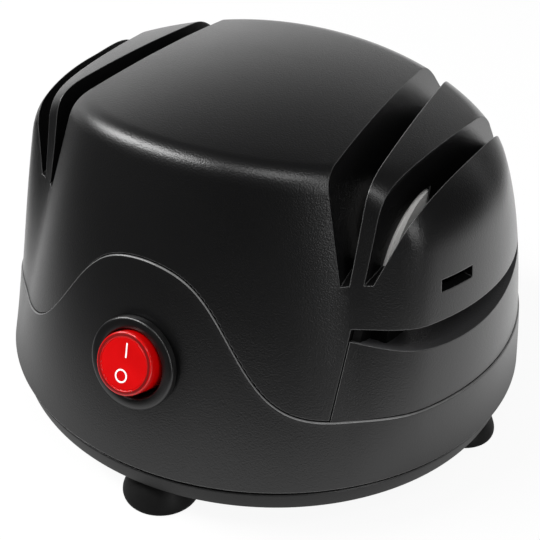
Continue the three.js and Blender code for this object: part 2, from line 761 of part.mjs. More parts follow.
function switchRocker() {
  const disc = turned([
    [0, -rockerBase],
    [rockerRadius, -rockerBase],
    [rockerRadius, rockerRise - rockerChamfer],
    [rockerRadius - rockerChamfer, rockerRise],
    [inlayRadius, rockerRise],
    [inlayRadius - inlayDepth, rockerRise - inlayDepth],
    [0, rockerRise - inlayDepth],
  ], bezelSegments);
  const reach = rockerRadius + pivotReach;
  const pivots = rod(pivotRadius, -reach, reach, smallSegments).rotateY(Math.PI / 2);
  const whole = geometryOf(solid(disc).add(solid(pivots.translate(0, 0, -rockerPivotDepth))));
  whole.translate(0, 0, rockerPivotDepth).rotateX(-rockerSwing / 2).translate(0, 0, -rockerPivotDepth);
  return atSwitch(whole);
}

function switchTerminal(end) {
  const y = (end * terminalSpacing) / 2;
  const top = -switchBodyDepth + terminalSeat;
  const blade = block(
    -terminalWidth / 2, terminalWidth / 2,
    y - terminalThickness / 2, y + terminalThickness / 2,
    top - terminalLength, top,
  );
  return atSwitch(geometryOf(blade));
}

// Cord gland: a bushing with a groove that grips the back wall
function cordGland() {
  const hollow = glandFlange * Math.tan(Math.PI / innerColumns);
  const inside = -baseProud - shellWall - partGap - hollow;
  return atGland(
    turned([
      [glandBore, inside - glandFlangeWidth],
      [glandFlange, inside - glandFlangeWidth],
      [glandFlange, inside],
      [glandNeck, inside],
      [glandNeck, partGap],
      [glandFlange, partGap],
      [glandNeck, partGap + glandCollarWidth],
      [glandBore, partGap + glandCollarWidth],
      [glandBore, inside - glandFlangeWidth],
    ]),
  );
}

// Grinding wheels with their hubs and nuts
function grindingWheel(side) {
  const middle = side * wheelMiddle;
  const low = middle - wheelWidth / 2;
  const high = middle + wheelWidth / 2;
  const bore = shaftRadius + partGap;
  return alongAxle(
    turned([
      [bore, low],
      [wheelRadius - wheelChamfer, low],
      [wheelRadius, low + wheelChamfer],
      [wheelRadius, high - wheelChamfer],
      [wheelRadius - wheelChamfer, high],
      [bore, high],
      [bore, low],
    ], wheelSegments),
  );
}

// A ring on the shaft between two distances from the centre plane
function ringOnShaft(side, near, far, radius) {
  const low = Math.min(side * near, side * far);
  const high = Math.max(side * near, side * far);
  return alongAxle(tube(shaftRadius + partGap, radius, low, high));
}

function wheelNut(side) {
  const middle = side * (wheelFar + nutWidth / 2);
  const hexagon = alongAxle(rod(nutRadius, middle - nutWidth / 2, middle + nutWidth / 2, nutCorners));
  return hexagon.subtract(alongAxle(rod(shaftRadius + partGap, middle - nutWidth, middle + nutWidth)));
}

const wheelHub = (side) => ringOnShaft(side, wheelNear - hubWidth, wheelNear, hubRadius);
const bearing = (side) => ringOnShaft(side, bracketInner, bracketInner + bearingWidth, bearingRadius);

function motorShaft() {
  const reach = wheelFar + nutWidth + shaftEnd;
  return alongAxle(rod(shaftRadius, -reach, reach));
}

// Motor
function statorCore() {
  const half = statorSize / 2;
  const outline = new THREE.Shape();
  outline.moveTo(-half + statorCorner, -half);
  outline.lineTo(half - statorCorner, -half);
  outline.absarc(half - statorCorner, -half + statorCorner, statorCorner, -Math.PI / 2, 0, false);
  outline.absarc(half - statorCorner, half - statorCorner, statorCorner, 0, Math.PI / 2, false);
  outline.absarc(-half + statorCorner, half - statorCorner, statorCorner, Math.PI / 2, Math.PI, false);
  outline.absarc(-half + statorCorner, -half + statorCorner, statorCorner, Math.PI, 1.5 * Math.PI, false);
  const bore = new THREE.Path();
  const poleAngle = Math.asin(poleWidth / 2 / boreRadius);
  bore.moveTo(windowWidth / 2, windowHeight / 2);
  bore.lineTo(poleWidth / 2, windowHeight / 2);
  bore.absarc(0, 0, boreRadius, Math.PI / 2 - poleAngle, Math.PI / 2 + poleAngle, false);
  bore.lineTo(-poleWidth / 2, windowHeight / 2);
  bore.lineTo(-windowWidth / 2, windowHeight / 2);
  bore.lineTo(-windowWidth / 2, -windowHeight / 2);
  bore.lineTo(-poleWidth / 2, -windowHeight / 2);
  bore.absarc(0, 0, boreRadius, 1.5 * Math.PI - poleAngle, 1.5 * Math.PI + poleAngle, false);
  bore.lineTo(poleWidth / 2, -windowHeight / 2);
  bore.lineTo(windowWidth / 2, -windowHeight / 2);
  bore.closePath();
  outline.holes.push(bore);
  for (const end of [-1, 1]) {
    const hole = new THREE.Path();
    hole.absarc(-end * boltPlace, end * boltPlace, boltRadius + partGap, 0, 2 * Math.PI, true);
    outline.holes.push(hole);
  }
  return plateAcross(outline, -statorLength / 2, statorLength / 2);
}

// A field coil is wound round its pole, with its ends beyond the laminations
function fieldCoil(end) {
  const halfX = statorLength / 2 + partGap;
  const inner = poleWidth / 2 + partGap;
  const outer = windowWidth / 2 - partGap;
  const width = outer - inner;
  const low = Math.sqrt((rotorRadius + 1.5 * partGap) ** 2 - inner ** 2) + 2 * partGap;
  const high = windowHeight / 2 - partGap;
  const ring = new THREE.Shape();
  const corner = width * coilCornerShare;
  ring.moveTo(-halfX - width + corner, -outer);
  ring.lineTo(halfX + width - corner, -outer);
  ring.quadraticCurveTo(halfX + width, -outer, halfX + width, -outer + corner);
  ring.lineTo(halfX + width, outer - corner);
  ring.quadraticCurveTo(halfX + width, outer, halfX + width - corner, outer);
  ring.lineTo(-halfX - width + corner, outer);
  ring.quadraticCurveTo(-halfX - width, outer, -halfX - width, outer - corner);
  ring.lineTo(-halfX - width, -outer + corner);
  ring.quadraticCurveTo(-halfX - width, -outer, -halfX - width + corner, -outer);
  const hole = new THREE.Path();
  hole.moveTo(-halfX, -inner);
  hole.lineTo(-halfX, inner);
  hole.lineTo(halfX, inner);
  hole.lineTo(halfX, -inner);
  hole.closePath();
  ring.holes.push(hole);
  const depth = high - low;
  const geometry = new THREE.ExtrudeGeometry(ring, { depth, bevelEnabled: false, curveSegments: 5 });
  return solid(geometry.translate(0, axle.y, axle.z + (end > 0 ? low : -high)));
}

function armatureCore() {
  const shape = new THREE.Shape();
  const pitch = (2 * Math.PI) / rotorTeeth;
  const half = (pitch * toothShare) / 2;
  const root = rotorRadius - toothDepth;
  for (let tooth = 0; tooth < rotorTeeth; tooth++) {
    const middle = tooth * pitch;
    shape.absarc(0, 0, rotorRadius, middle - half, middle + half, false);
    shape.lineTo(root * Math.cos(middle + half), root * Math.sin(middle + half));
    shape.lineTo(root * Math.cos(middle + pitch - half), root * Math.sin(middle + pitch - half));
  }
  shape.closePath();
  const geometry = new THREE.ExtrudeGeometry(shape, {
    depth: statorLength,
    bevelEnabled: false,
    curveSegments: 3,
  });
  const core = alongAxle(geometry.translate(0, 0, -statorLength / 2));
  return core.subtract(alongAxle(rod(shaftRadius + partGap, -statorLength, statorLength)));
}

const windingStart = statorLength / 2 + partGap;
const windingEnd = windingStart + windingWidth;
const commutatorStart = windingEnd + partGap;
const coilOverhang = windowWidth / 2 - poleWidth / 2 - 2 * partGap;
const fanStart = windingStart + coilOverhang + 3 * partGap;
const fanWidth = bracketInner - fanStart - fanClearance;

const commutator = () =>
  ringOnShaft(1, commutatorStart, commutatorStart + commutatorWidth, commutatorRadius);

function armatureWinding(side) {
  const bore = shaftRadius + partGap;
  const low = Math.min(side * windingStart, side * windingEnd);
  const high = low + windingWidth;
  const round = windingWidth / 3;
  return alongAxle(
    turned([
      [bore, low],
      [windingRadius - round, low],
      [windingRadius, low + round],
      [windingRadius, high - round],
      [windingRadius - round, high],
      [bore, high],
      [bore, low],
    ]),
  );
}

// The fan sits left of the windings: a plate on a hub with straight blades
function coolingFan() {
  const near = -fanStart;
  const far = near - fanWidth;
  const hub = alongAxle(tube(shaftRadius + partGap, commutatorRadius, far, near));
  const plate = alongAxle(tube(shaftRadius + partGap, fanRadius, near - fanPlate, near));
  let fan = hub.add(plate);
  for (let blade = 0; blade < fanBlades; blade++) {
    const geometry = new THREE.BoxGeometry(fanWidth, fanPlate, fanRadius - commutatorRadius);
    geometry.translate((near + far) / 2, 0, (fanRadius + commutatorRadius) / 2 - fanPlate / 2);
    geometry.rotateX((blade * 2 * Math.PI) / fanBlades);
    fan = fan.add(solid(geometry.translate(0, axle.y, axle.z)));
  }
  return fan;
}

// End bracket: a boss for the bearing, a bar to the two long bolts and a leg down to the stand
function endBracket(side) {
  const near = bracketInner;
  const far = bracketInner + bracketThickness;
  const between = (a, b) => [Math.min(side * a, side * b), Math.max(side * a, side * b)];
  const [plateLow, plateHigh] = between(near, far);
  const [bossLow, bossHigh] = between(near, near + bearingWidth + partGap);
  const boss = alongAxle(rod(bearingSeat, bossLow, bossHigh));
  const barLength = 2 * Math.SQRT2 * boltPlace + 2 * bracketBar;
  const bar = new THREE.BoxGeometry(bracketThickness, barLength, 2 * bracketBar);
  bar.rotateX(-Math.PI / 4).translate(side * (near + bracketThickness / 2), axle.y, axle.z);
  const feet = axle.z - motorFootDepth;
  const leg = block(plateLow, plateHigh, axle.y - bearingSeat, axle.y + bearingSeat, feet, axle.z);
  const footMiddle = side * standMiddle;
  const [footLow, footHigh] = between(near, near + bracketFoot);
  const foot = block(
    footLow, footHigh, axle.y - standWidth / 2, axle.y + standWidth / 2, feet, feet + bracketThickness,
  );
  let bracket = joined(boss, solid(bar), leg, foot);
  bracket = bracket.subtract(alongAxle(rod(bearingRadius + partGap, bossLow - overrun, bossHigh + overrun)));
  for (const end of [-1, 1]) {
    const bolt = rod(boltRadius + partGap, -seamRadius, seamRadius, smallSegments).rotateY(Math.PI / 2);
    bolt.translate(0, axle.y - end * boltPlace, axle.z + end * boltPlace);
    const screw = rod(boltRadius + partGap, feet - overrun / 2, feet + overrun / 2, smallSegments);
    screw.translate(footMiddle, axle.y + end * mountScrewPlace, 0);
    bracket = cut(bracket, solid(bolt), solid(screw));
  }
  return bracket;
}

// A long bolt with its head on the right bracket
function motorBolt(end) {
  const start = -bracketInner - bracketThickness - 2 * partGap;
  const stop = bracketInner + bracketThickness + partGap;
  const bolt = turned([
    [0, start],
    [boltRadius, start],
    [boltRadius, stop],
    [boltRadius * 2, stop],
    [boltRadius * 2, stop + boltRadius],
    [0, stop + boltRadius],
  ], smallSegments);
  bolt.rotateY(Math.PI / 2).translate(0, axle.y - end * boltPlace, axle.z + end * boltPlace);
  return solid(bolt);
}

function mountScrew(side, end) {
  const seat = axle.z - motorFootDepth + bracketThickness + partGap;
  const screw = turned([
    [0, seat - mountScrewLength],
    [boltRadius, seat - mountScrewLength],
    [boltRadius, seat],
    [boltRadius * 2, seat],
    [boltRadius * 2, seat + boltRadius],
    [0, seat + boltRadius],
  ], smallSegments);
  return solid(screw.translate(side * standMiddle, axle.y + end * mountScrewPlace, 0));
}

// Carbon brushes press on the commutator from front and back, in holders that reach to the bracket
const brushMiddle = commutatorStart + commutatorWidth / 2;

function carbonBrush(end) {
  const near = commutatorRadius + partGap;
  const half = brushWidth / 2;
  const y0 = axle.y + (end > 0 ? near : -near - brushLength);
  return block(brushMiddle - half, brushMiddle + half, y0, y0 + brushLength, axle.z - half, axle.z + half);
}

function brushHolder(end) {
  const clear = brushWidth / 2 + partGap;
  const wall = clear + brushHolderWall;
  const near = commutatorRadius + 4 * partGap;
  const far = near + brushLength + brushHolderWall;
  const place = (from, to) => (end > 0 ? [axle.y + from, axle.y + to] : [axle.y - to, axle.y - from]);
  const outer = block(
    brushMiddle - wall, bracketInner - partGap, ...place(near, far), axle.z - wall, axle.z + wall,
  );
  const inner = block(
    brushMiddle - clear, brushMiddle + clear,
    ...place(near - overrun / 4, far - brushHolderWall), axle.z - clear, axle.z + clear,
  );
  return outer.subtract(inner);
}

// Assembly
addPiece("top_housing", topHousing(), colour.shell);
addPiece("base_housing", baseHousing(), colour.base);
addPiece("scissors_panel", scissorsPanel(), colour.shell);
addPiece("bottom_cover", bottomCover(), colour.base);
footNames.forEach((name, i) => {
  addPiece("suction_foot_" + name, suctionFoot(footAngles[i]), colour.rubber);
});
addPiece("cord_gland", cordGland(), colour.rubber);
addPiece("switch_body", switchBody(), colour.bezel);
addPiece("switch_rocker", switchRocker(), colour.rocker);
addPiece("switch_terminal_upper", switchTerminal(1), colour.brass);
addPiece("switch_terminal_lower", switchTerminal(-1), colour.brass);
addPiece("stator_core", statorCore(), colour.iron);
addPiece("field_coil_upper", fieldCoil(1), colour.copper);
addPiece("field_coil_lower", fieldCoil(-1), colour.copper);
addPiece("motor_shaft", motorShaft(), colour.steel);
addPiece("armature_core", armatureCore(), colour.iron);
addPiece("commutator", commutator(), colour.copper);
addPiece("cooling_fan", coolingFan(), colour.fan);
for (const [end, word] of [[-1, "front"], [1, "rear"]]) {
  addPiece("brush_holder_" + word, brushHolder(end), colour.brass);
  addPiece("carbon_brush_" + word, carbonBrush(end), colour.carbon);
}
addPiece("motor_bolt_upper", motorBolt(1), colour.steel);
addPiece("motor_bolt_lower", motorBolt(-1), colour.steel);
for (const [side, word] of [[-1, "left"], [1, "right"]]) {
  const stoneColour = side < 0 ? colour.coarseStone : colour.fineStone;
  addPiece("armature_winding_" + word, armatureWinding(side), colour.copper);
  addPiece("bearing_" + word, bearing(side), colour.bronze);
  addPiece("end_bracket_" + word, endBracket(side), colour.zinc);
  addPiece("wheel_hub_" + word, wheelHub(side), colour.steel);
  addPiece("grinding_wheel_" + (side < 0 ? "coarse" : "fine"), grindingWheel(side), stoneColour);
  addPiece("wheel_nut_" + word, wheelNut(side), colour.steel);
  addPiece("motor_mount_screw_" + word + "_front", mountScrew(side, -1), colour.steel);
  addPiece("motor_mount_screw_" + word + "_rear", mountScrew(side, 1), colour.steel);
  addPiece("housing_screw_front_" + word, housingScrew(side, frontPost), colour.steel);
  addPiece("housing_screw_rear_" + word, housingScrew(side, rearPost), colour.steel);
}

export default sharpener;
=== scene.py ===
# %% [markdown]
# # A round electric knife sharpener
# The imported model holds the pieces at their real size. This script loads it, dresses every piece and
# lights it. Everything is in metres, +Z is up and the front with the switch faces -Y.

# %% Load the frame
import json
import math
import bmesh
import bpy
from mathutils import Matrix, Vector


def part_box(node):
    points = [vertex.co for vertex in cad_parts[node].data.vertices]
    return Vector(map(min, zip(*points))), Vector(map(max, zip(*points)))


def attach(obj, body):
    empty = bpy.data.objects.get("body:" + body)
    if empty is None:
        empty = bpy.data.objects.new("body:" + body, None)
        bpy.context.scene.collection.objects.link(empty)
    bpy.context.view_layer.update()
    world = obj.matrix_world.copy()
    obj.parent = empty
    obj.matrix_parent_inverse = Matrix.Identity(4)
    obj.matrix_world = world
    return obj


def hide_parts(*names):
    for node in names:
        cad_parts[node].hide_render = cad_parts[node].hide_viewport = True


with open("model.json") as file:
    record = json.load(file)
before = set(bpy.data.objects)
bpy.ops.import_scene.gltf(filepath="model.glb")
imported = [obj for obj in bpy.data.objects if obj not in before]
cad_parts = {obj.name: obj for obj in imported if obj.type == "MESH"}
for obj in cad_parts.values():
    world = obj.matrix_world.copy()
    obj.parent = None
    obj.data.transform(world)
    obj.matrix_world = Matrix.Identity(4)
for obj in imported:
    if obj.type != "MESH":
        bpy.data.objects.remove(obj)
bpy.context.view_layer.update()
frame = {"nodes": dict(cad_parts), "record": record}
mm = 0.001
print("frame:", len(frame["nodes"]), "nodes")

# %% [markdown]
# ## The camera
# The photograph was taken from above the front right corner. The place, the direction and the small
# roll were worked out from the round seam, the rim and the slots, and the lens from how fast they shrink.

# %% Camera
camera_place = Vector((123.3, -225.6, 201.7)) * mm
camera_forward = Vector((-0.4012, 0.7350, -0.5469))
camera_roll = math.radians(2.575)

lens = bpy.data.cameras.new("camera")
lens.sensor_width = 36
lens.lens = 69.55
camera = bpy.data.objects.new("camera", lens)
bpy.context.scene.collection.objects.link(camera)
turn = camera_forward.to_track_quat("-Z", "Y").to_matrix().to_4x4()
camera.matrix_world = Matrix.Translation(camera_place) @ turn @ Matrix.Rotation(camera_roll, 4, "Z")
bpy.context.scene.camera = camera
bpy.context.scene.view_settings.view_transform = "Standard"
print("camera:", round(lens.lens, 2), "mm lens at", [round(value, 3) for value in camera_place])

# %% [markdown]
# ## The shape of the housing
# The wall is a leaning cone in front and fuller at the sides, and its back is a circle that comes
# forward as it rises. The crown is a shallow dome. A mesh could be sculpted towards such a form, but here
# wall, crown and parting line are formulas of the angle round the axis and the height above the dark
# seam, so that the pieces made from them meet exactly.

# %% Sizes of the body
seam_radius = 74 * mm
foot_drop = 10 * mm
rim_height = 7.5 * mm
seam = foot_drop + rim_height
parting_height = 17.1 * mm
wave_height = 53.2 * mm
apex_height = 82.6 * mm
shell_wall = 2.5 * mm
gap = 0.3 * mm
base_proud = 0.4 * mm

front_lean = 0.265
side_lean = 0.1
side_bow_radius = 833 * mm
corner_start, corner_end = math.radians(44), math.radians(62)
back_shift, back_shift_height, back_softness = 38 * mm, 76 * mm, 0.05
crown_across, crown_along, crown_middle = 165 * mm, 400 * mm, 6 * mm
front_rounding, side_rounding, back_rounding = 4.6 * mm, 12.8 * mm, 5 * mm
back_corner_start, back_corner_end = math.radians(84), math.radians(104)
wave_middle, wave_spread, wave_crest = math.radians(22.2), math.radians(5), math.radians(4)
edge_tries = 16


def smooth_step(x, low, high):
    t = min(max((x - low) / (high - low), 0), 1)
    return t * t * (3 - 2 * t)


def mix(a, b, share):
    return a + (b - a) * share


def soft_lesser(a, b, softness):
    lesser = min(a, b)
    excess = math.exp((lesser - a) / softness) + math.exp((lesser - b) / softness)
    return lesser - softness * math.log(excess)


def wall_radius(angle, height):
    """The outer wall's distance from the axis, at an angle from the front and a height above the seam."""
    turn = abs(angle)
    front = seam_radius - front_lean * height
    side = seam_radius - side_lean * height - height**2 / (2 * side_bow_radius)
    body = mix(front, side, smooth_step(turn, corner_start, corner_end))
    shift = back_shift * (height / back_shift_height) ** 2
    back = shift * math.cos(turn) + math.sqrt(seam_radius**2 - (shift * math.sin(turn)) ** 2)
    return soft_lesser(body, back, back_softness * max(height, gap))


def crown_height(radius, angle):
    x, y = radius * math.sin(angle), -radius * math.cos(angle)
    return apex_height - x**2 / (2 * crown_across) - (y - crown_middle) ** 2 / (2 * crown_along)


def column(angle, inset, rows):
    """Points from the seam up the wall, round the corner and over the crown, as (radius, height)."""
    wall_rows, round_rows, crown_rows = rows
    edge_height, edge_radius = apex_height, seam_radius
    for _ in range(edge_tries):
        edge_radius = wall_radius(angle, edge_height) - inset
        edge_height = crown_height(edge_radius, angle) - inset
    side_share = smooth_step(abs(angle), corner_start, corner_end)
    back_share = smooth_step(abs(angle), back_corner_start, back_corner_end)
    rounding = mix(mix(front_rounding, side_rounding, side_share), back_rounding, back_share)
    reach = rounding - max(inset, 0)
    wall_end, crown_end = edge_height - reach, edge_radius - reach
    heights = [wall_end * row / wall_rows for row in range(wall_rows + 1)]
    points = [(wall_radius(angle, height) - inset, height) for height in heights]
    start = Vector(points[-1])
    corner = Vector((edge_radius, edge_height))
    end = Vector((crown_end, crown_height(crown_end, angle) - inset))
    for row in range(1, round_rows + 1):
        t = row / round_rows
        points.append(tuple((1 - t) ** 2 * start + 2 * t * (1 - t) * corner + t * t * end))
    for row in range(1, crown_rows):
        radius = crown_end * (1 - row / crown_rows)
        points.append((radius, crown_height(radius, angle) - inset))
    return points


def at_angle(radius, angle, height):
    return Vector((radius * math.sin(angle), -radius * math.cos(angle), seam + height))


def wave_at(angle):
    """The parting line's height above the seam: high over the switch, low at the sides and back."""
    share = 1 / (1 + math.exp((math.hypot(angle, wave_crest) - wave_middle) / wave_spread))
    return mix(parting_height, wave_height, share)


print("wave:", round(wave_at(0) / mm, 1), "mm in front,", round(wave_at(math.pi) / mm, 1), "mm behind")

# %% [markdown]
# ## Helpers that make solids
# Each helper starts from one of Blender's own shapes, a hull or a turned profile, and moves it into
# place, so that every solid is closed. Solids are joined and cut with Boolean modifiers, as the
# moulding's cavities would be.

# %% Helpers for solids
same_place = 0.001 * mm


def angle_of(point):
    return math.atan2(point.x, -point.y)


def corners_of(items):
    return [item for item in items if isinstance(item, bmesh.types.BMVert)]


def write_out(name, mesh):
    """A bmesh as an object at the origin."""
    data = bpy.data.meshes.new(name)
    mesh.to_mesh(data)
    mesh.free()
    made = bpy.data.objects.new(name, data)
    bpy.context.scene.collection.objects.link(made)
    return made


def as_object(name, mesh):
    """A finished bmesh as an object, with its faces pointing outwards."""
    bmesh.ops.remove_doubles(mesh, verts=mesh.verts, dist=same_place)
    bmesh.ops.recalc_face_normals(mesh, faces=mesh.faces)
    return write_out(name, mesh)


def ring_up(mesh, edges, place):
    """Extrudes a ring of edges and puts each new corner where place(angle) says."""
    grown = bmesh.ops.extrude_edge_only(mesh, edges=edges)["geom"]
    for corner in corners_of(grown):
        corner.co = place(angle_of(corner.co))
    return [item for item in grown if isinstance(item, bmesh.types.BMEdge) and item.is_boundary]


def close_ring(mesh, edges, middle):
    """Extrudes a ring of edges and draws its new corners together in one point."""
    grown = bmesh.ops.extrude_edge_only(mesh, edges=edges)["geom"]
    bmesh.ops.pointmerge(mesh, verts=corners_of(grown), merge_co=middle)


def lofted(name, columns, places, low, top):
    """A closed solid whose rings are given as functions of the angle, between two middle points."""
    mesh = bmesh.new()
    bmesh.ops.create_circle(mesh, segments=columns, radius=seam_radius)
    for corner in mesh.verts:
        corner.co = places[0](angle_of(corner.co))
    edges = list(mesh.edges)
    close_ring(mesh, edges, low)
    for place in places[1:]:
        edges = ring_up(mesh, [edge for edge in mesh.edges if edge.is_boundary], place)
    close_ring(mesh, edges, top)
    return as_object(name, mesh)


def body_form(name, inset, columns, rows, skirt=0.0):
    """The whole body above the seam, inset from its outer surface."""
    table = {}

    def row_place(row):
        def place(angle):
            key = round(angle, 4)
            if key not in table:
                table[key] = column(angle, inset, rows)
            radius, height = table[key][row]
            return at_angle(radius, angle, height)

        return place

    places = [row_place(row) for row in range(sum(rows))]
    if skirt:
        places.insert(0, lambda angle: at_angle(seam_radius - inset, angle, -skirt))
    low = at_angle(0, 0, -skirt)
    return lofted(name, columns, places, low, at_angle(0, 0, crown_height(0, 0) - inset))


def block(name, size, matrix):
    mesh = bmesh.new()
    bmesh.ops.create_cube(mesh, size=1, matrix=matrix @ Matrix.Diagonal((*size, 1)))
    return as_object(name, mesh)


def boxed(name, x0, x1, y0, y1, z0, z1):
    middle = Vector((x0 + x1, y0 + y1, z0 + z1)) / 2
    return block(name, (x1 - x0, y1 - y0, z1 - z0), Matrix.Translation(middle))


def hull(name, corners):
    mesh = bmesh.new()
    for corner in corners:
        mesh.verts.new(corner)
    made = bmesh.ops.convex_hull(mesh, input=mesh.verts)
    bmesh.ops.delete(mesh, geom=corners_of(made["geom_interior"]), context="VERTS")
    return as_object(name, mesh)


def turned(name, profile, segments=96, matrix=Matrix.Identity(4)):
    """A turned solid: profile is (radius, height) from bottom to top, in millimetres."""
    mesh = bmesh.new()
    corners = [mesh.verts.new((radius * mm, 0, height * mm)) for radius, height in profile]
    edges = [mesh.edges.new(pair) for pair in zip(corners, corners[1:])]
    bmesh.ops.spin(
        mesh, geom=corners + edges, axis=(0, 0, 1), cent=(0, 0, 0),
        angle=2 * math.pi, steps=segments, use_merge=True,
    )
    bmesh.ops.remove_doubles(mesh, verts=mesh.verts, dist=same_place)
    bmesh.ops.transform(mesh, matrix=matrix, verts=mesh.verts)
    return as_object(name, mesh)


def rod(name, radius, low, high, segments, matrix=Matrix.Identity(4)):
    return turned(name, [(0, low), (radius, low), (radius, high), (0, high)], segments, matrix)


def combine(target, tools, operation):
    """Joins or cuts a solid with others, and clears those away."""
    for tool in tools:
        step = target.modifiers.new(tool.name, "BOOLEAN")
        step.operation = operation
        step.solver = "MANIFOLD"
        step.object = tool
    bpy.context.view_layer.update()
    evaluated = target.evaluated_get(bpy.context.evaluated_depsgraph_get())
    result = bpy.data.meshes.new_from_object(evaluated)
    target.modifiers.clear()
    target.data = result
    for tool in tools:
        bpy.data.objects.remove(tool)
    return target


def join(target, *tools):
    return combine(target, tools, "UNION")


def cut(target, *tools):
    return combine(target, tools, "DIFFERENCE")


def common(target, *tools):
    return combine(target, tools, "INTERSECT")


def smoothed(piece, sharp=28):
    """Smooth shading, with every edge sharper than the angle kept."""
    piece.data.shade_smooth()
    piece.data.set_sharp_from_angle(angle=math.radians(sharp))
    return piece


def counted(piece):
    print(piece.name + ":", len(piece.data.polygons), "faces")


# %% [markdown]
# ## Shader maths
# A material is a graph of nodes. It could be wired in the editor, but the two small classes below let it
# be written as an expression: a Wire is one value in it, and an operator on a Wire adds the Math node.

# %% Wires and graphs
class Wire:
    def __init__(self, graph, socket):
        self.graph = graph
        self.socket = socket

    def maths(self, operation, first, second):
        return self.graph.node("ShaderNodeMath", {"operation": operation}, {0: first, 1: second})

    def __add__(self, other):
        return self.maths("ADD", self, other)

    def __sub__(self, other):
        return self.maths("SUBTRACT", self, other)

    def __rsub__(self, other):
        return self.maths("SUBTRACT", other, self)

    def __mul__(self, other):
        return self.maths("MULTIPLY", self, other)

    def sine(self):
        return self.maths("SINE", self, 0.0)

    def size(self):
        return self.maths("ABSOLUTE", self, 0.0)

    __radd__ = __add__
    __rmul__ = __mul__


class Graph:
    def __init__(self, tree):
        self.tree = tree
        self.tree.nodes.clear()

    def node(self, kind, settings=None, inputs=None, output=0):
        made = self.tree.nodes.new(kind)
        for name, value in (settings or {}).items():
            setattr(made, name, value)
        for key, value in (inputs or {}).items():
            if isinstance(value, Wire):
                self.tree.links.new(value.socket, made.inputs[key])
            else:
                made.inputs[key].default_value = value
        return Wire(self, made.outputs[output]) if made.outputs else None

    def place(self):
        return self.node("ShaderNodeTexCoord", output="Object")

    def coordinate(self, axis):
        return self.node("ShaderNodeSeparateXYZ", inputs={0: self.place()}, output=axis)

    def dot(self, first, second):
        inputs = {0: first, 1: second}
        return self.node("ShaderNodeVectorMath", {"operation": "DOT_PRODUCT"}, inputs, output="Value")

    def noise(self, scale, detail):
        inputs = {"Vector": self.place(), "Scale": scale, "Detail": detail}
        return self.node("ShaderNodeTexNoise", inputs=inputs)

    def blend(self, share, first, second):
        inputs = {0: share, 6: first, 7: second}
        return self.node("ShaderNodeMix", {"data_type": "RGBA"}, inputs, output=2)

    def ramp(self, value, low, high):
        """From 0 to 1, softly, as the value goes from low to high."""
        inputs = {"Value": value, "From Min": low, "From Max": high, "To Min": 0.0, "To Max": 1.0}
        return self.node("ShaderNodeMapRange", {"interpolation_type": "SMOOTHSTEP"}, inputs)

    def ray(self, kind):
        return self.node("ShaderNodeLightPath", output=kind)

    def bump(self, height, strength, distance, normal=None):
        inputs = {"Height": height, "Strength": strength, "Distance": distance}
        if normal:
            inputs["Normal"] = normal
        return self.node("ShaderNodeBump", inputs=inputs)

    def soft_edges(self, radius):
        return self.node("ShaderNodeBevel", {"samples": 6}, {"Radius": radius})


materials = {}


def finish(name):
    """Makes a material from a function that takes the graph and returns the shader's inputs."""

    def build(recipe):
        material = bpy.data.materials.new(name)
        material.use_nodes = True
        graph = Graph(material.node_tree)
        shader = graph.node("ShaderNodeBsdfPrincipled", inputs=recipe(graph))
        graph.node("ShaderNodeOutputMaterial", inputs={"Surface": shader})
        materials[name] = material
        return recipe

    return build


def finishes(recipe, table):
    """One material for each row of a table: its name, and the values that the recipe takes."""
    for name, values in table.items():
        finish(name)(lambda graph: recipe(graph, *values))


def grey(level):
    return (level, level, level, 1.0)


def darkened(colour, share):
    return tuple(channel * share for channel in colour[:3]) + (1.0,)


print("white, half darkened:", darkened(grey(1.0), 0.5))

# %% [markdown]
# ## Moulded plastics
# The housing is black with a fine spark-eroded texture: close up it is a tight grain that breaks the
# highlights, and from a distance a satin. As geometry the grain would take millions of faces, so it is
# bump, and the roughness wanders a little. Where the softened normal leaves the true one there is an
# edge, and a painted highlight makes the colour paler there.

# %% Black plastics
patch_scale, grain_scale, grain_height = 38, 2500, 0.12 * mm
painted_highlight_start, painted_highlight_full, painted_highlight_share = 0.03, 0.22, 0.8
black = (0.0035, 0.0035, 0.0037, 1.0)


def black_plastic(graph, colour, roughness, grain, edge, highlight_grey):
    patches = graph.noise(patch_scale, 3)
    plastic = graph.blend(patches, darkened(colour, 0.8), colour)
    rounded = graph.soft_edges(edge)
    true_normal = graph.node("ShaderNodeNewGeometry", output="Normal")
    # Painted highlight: the colour turns paler along edges, where the softened normal leaves the true one.
    painted_edge_highlight = painted_highlight_share * graph.ramp(1 - graph.dot(rounded, true_normal), painted_highlight_start, painted_highlight_full)
    return {
        "Base Color": graph.blend(painted_edge_highlight, plastic, grey(highlight_grey)),
        "Roughness": roughness + 0.06 * (patches - 0.5),
        "Normal": graph.bump(graph.noise(grain_scale, 2), grain, grain_height, rounded),
    }


# colour, roughness, depth of the grain, softness of the edges, and the grey of the painted highlight on the
# edges
finishes(black_plastic, {
    "housing": (black, 0.32, 0.5, 0.35 * mm, 0.17),
    # recess: painted light, a paler grey for the inside faces that face up
    "recess": ((0.06, 0.06, 0.062, 1.0), 0.42, 1.0, 0.35 * mm, 0.06),
    "base": (black, 0.33, 0.4, 0.4 * mm, 0.24),
    "cover": (black, 0.36, 0.3, 0.3 * mm, 0.03),
    "bezel": ((0.004, 0.004, 0.0042, 1.0), 0.3, 0.08, 0.25 * mm, 0.1),
})
print("black plastics:", sorted(materials))

# %% [markdown]
# ## Other plastics, print and rubber
# The rocker is clear red plastic, so its colour is deep and its surface smooth. The print on it is matt
# white, the feet are dull rubber with a little dust, and the fan is pale nylon. A flat colour would look
# painted, so colour and roughness wander together in soft patches. The hollow finish is painted shade:
# nearly black for walls deep inside, where hardly any light returns. The base's upper edge has a paler
# finish of its own, a painted highlight. The motor's carbon brushes are made by the same recipe.

# %% Other plastics
def clouded(graph, scale, detail, dark, pale, roughness, spread):
    cloud = graph.noise(scale, detail)
    return {"Base Color": graph.blend(cloud, dark, pale), "Roughness": roughness + spread * cloud}


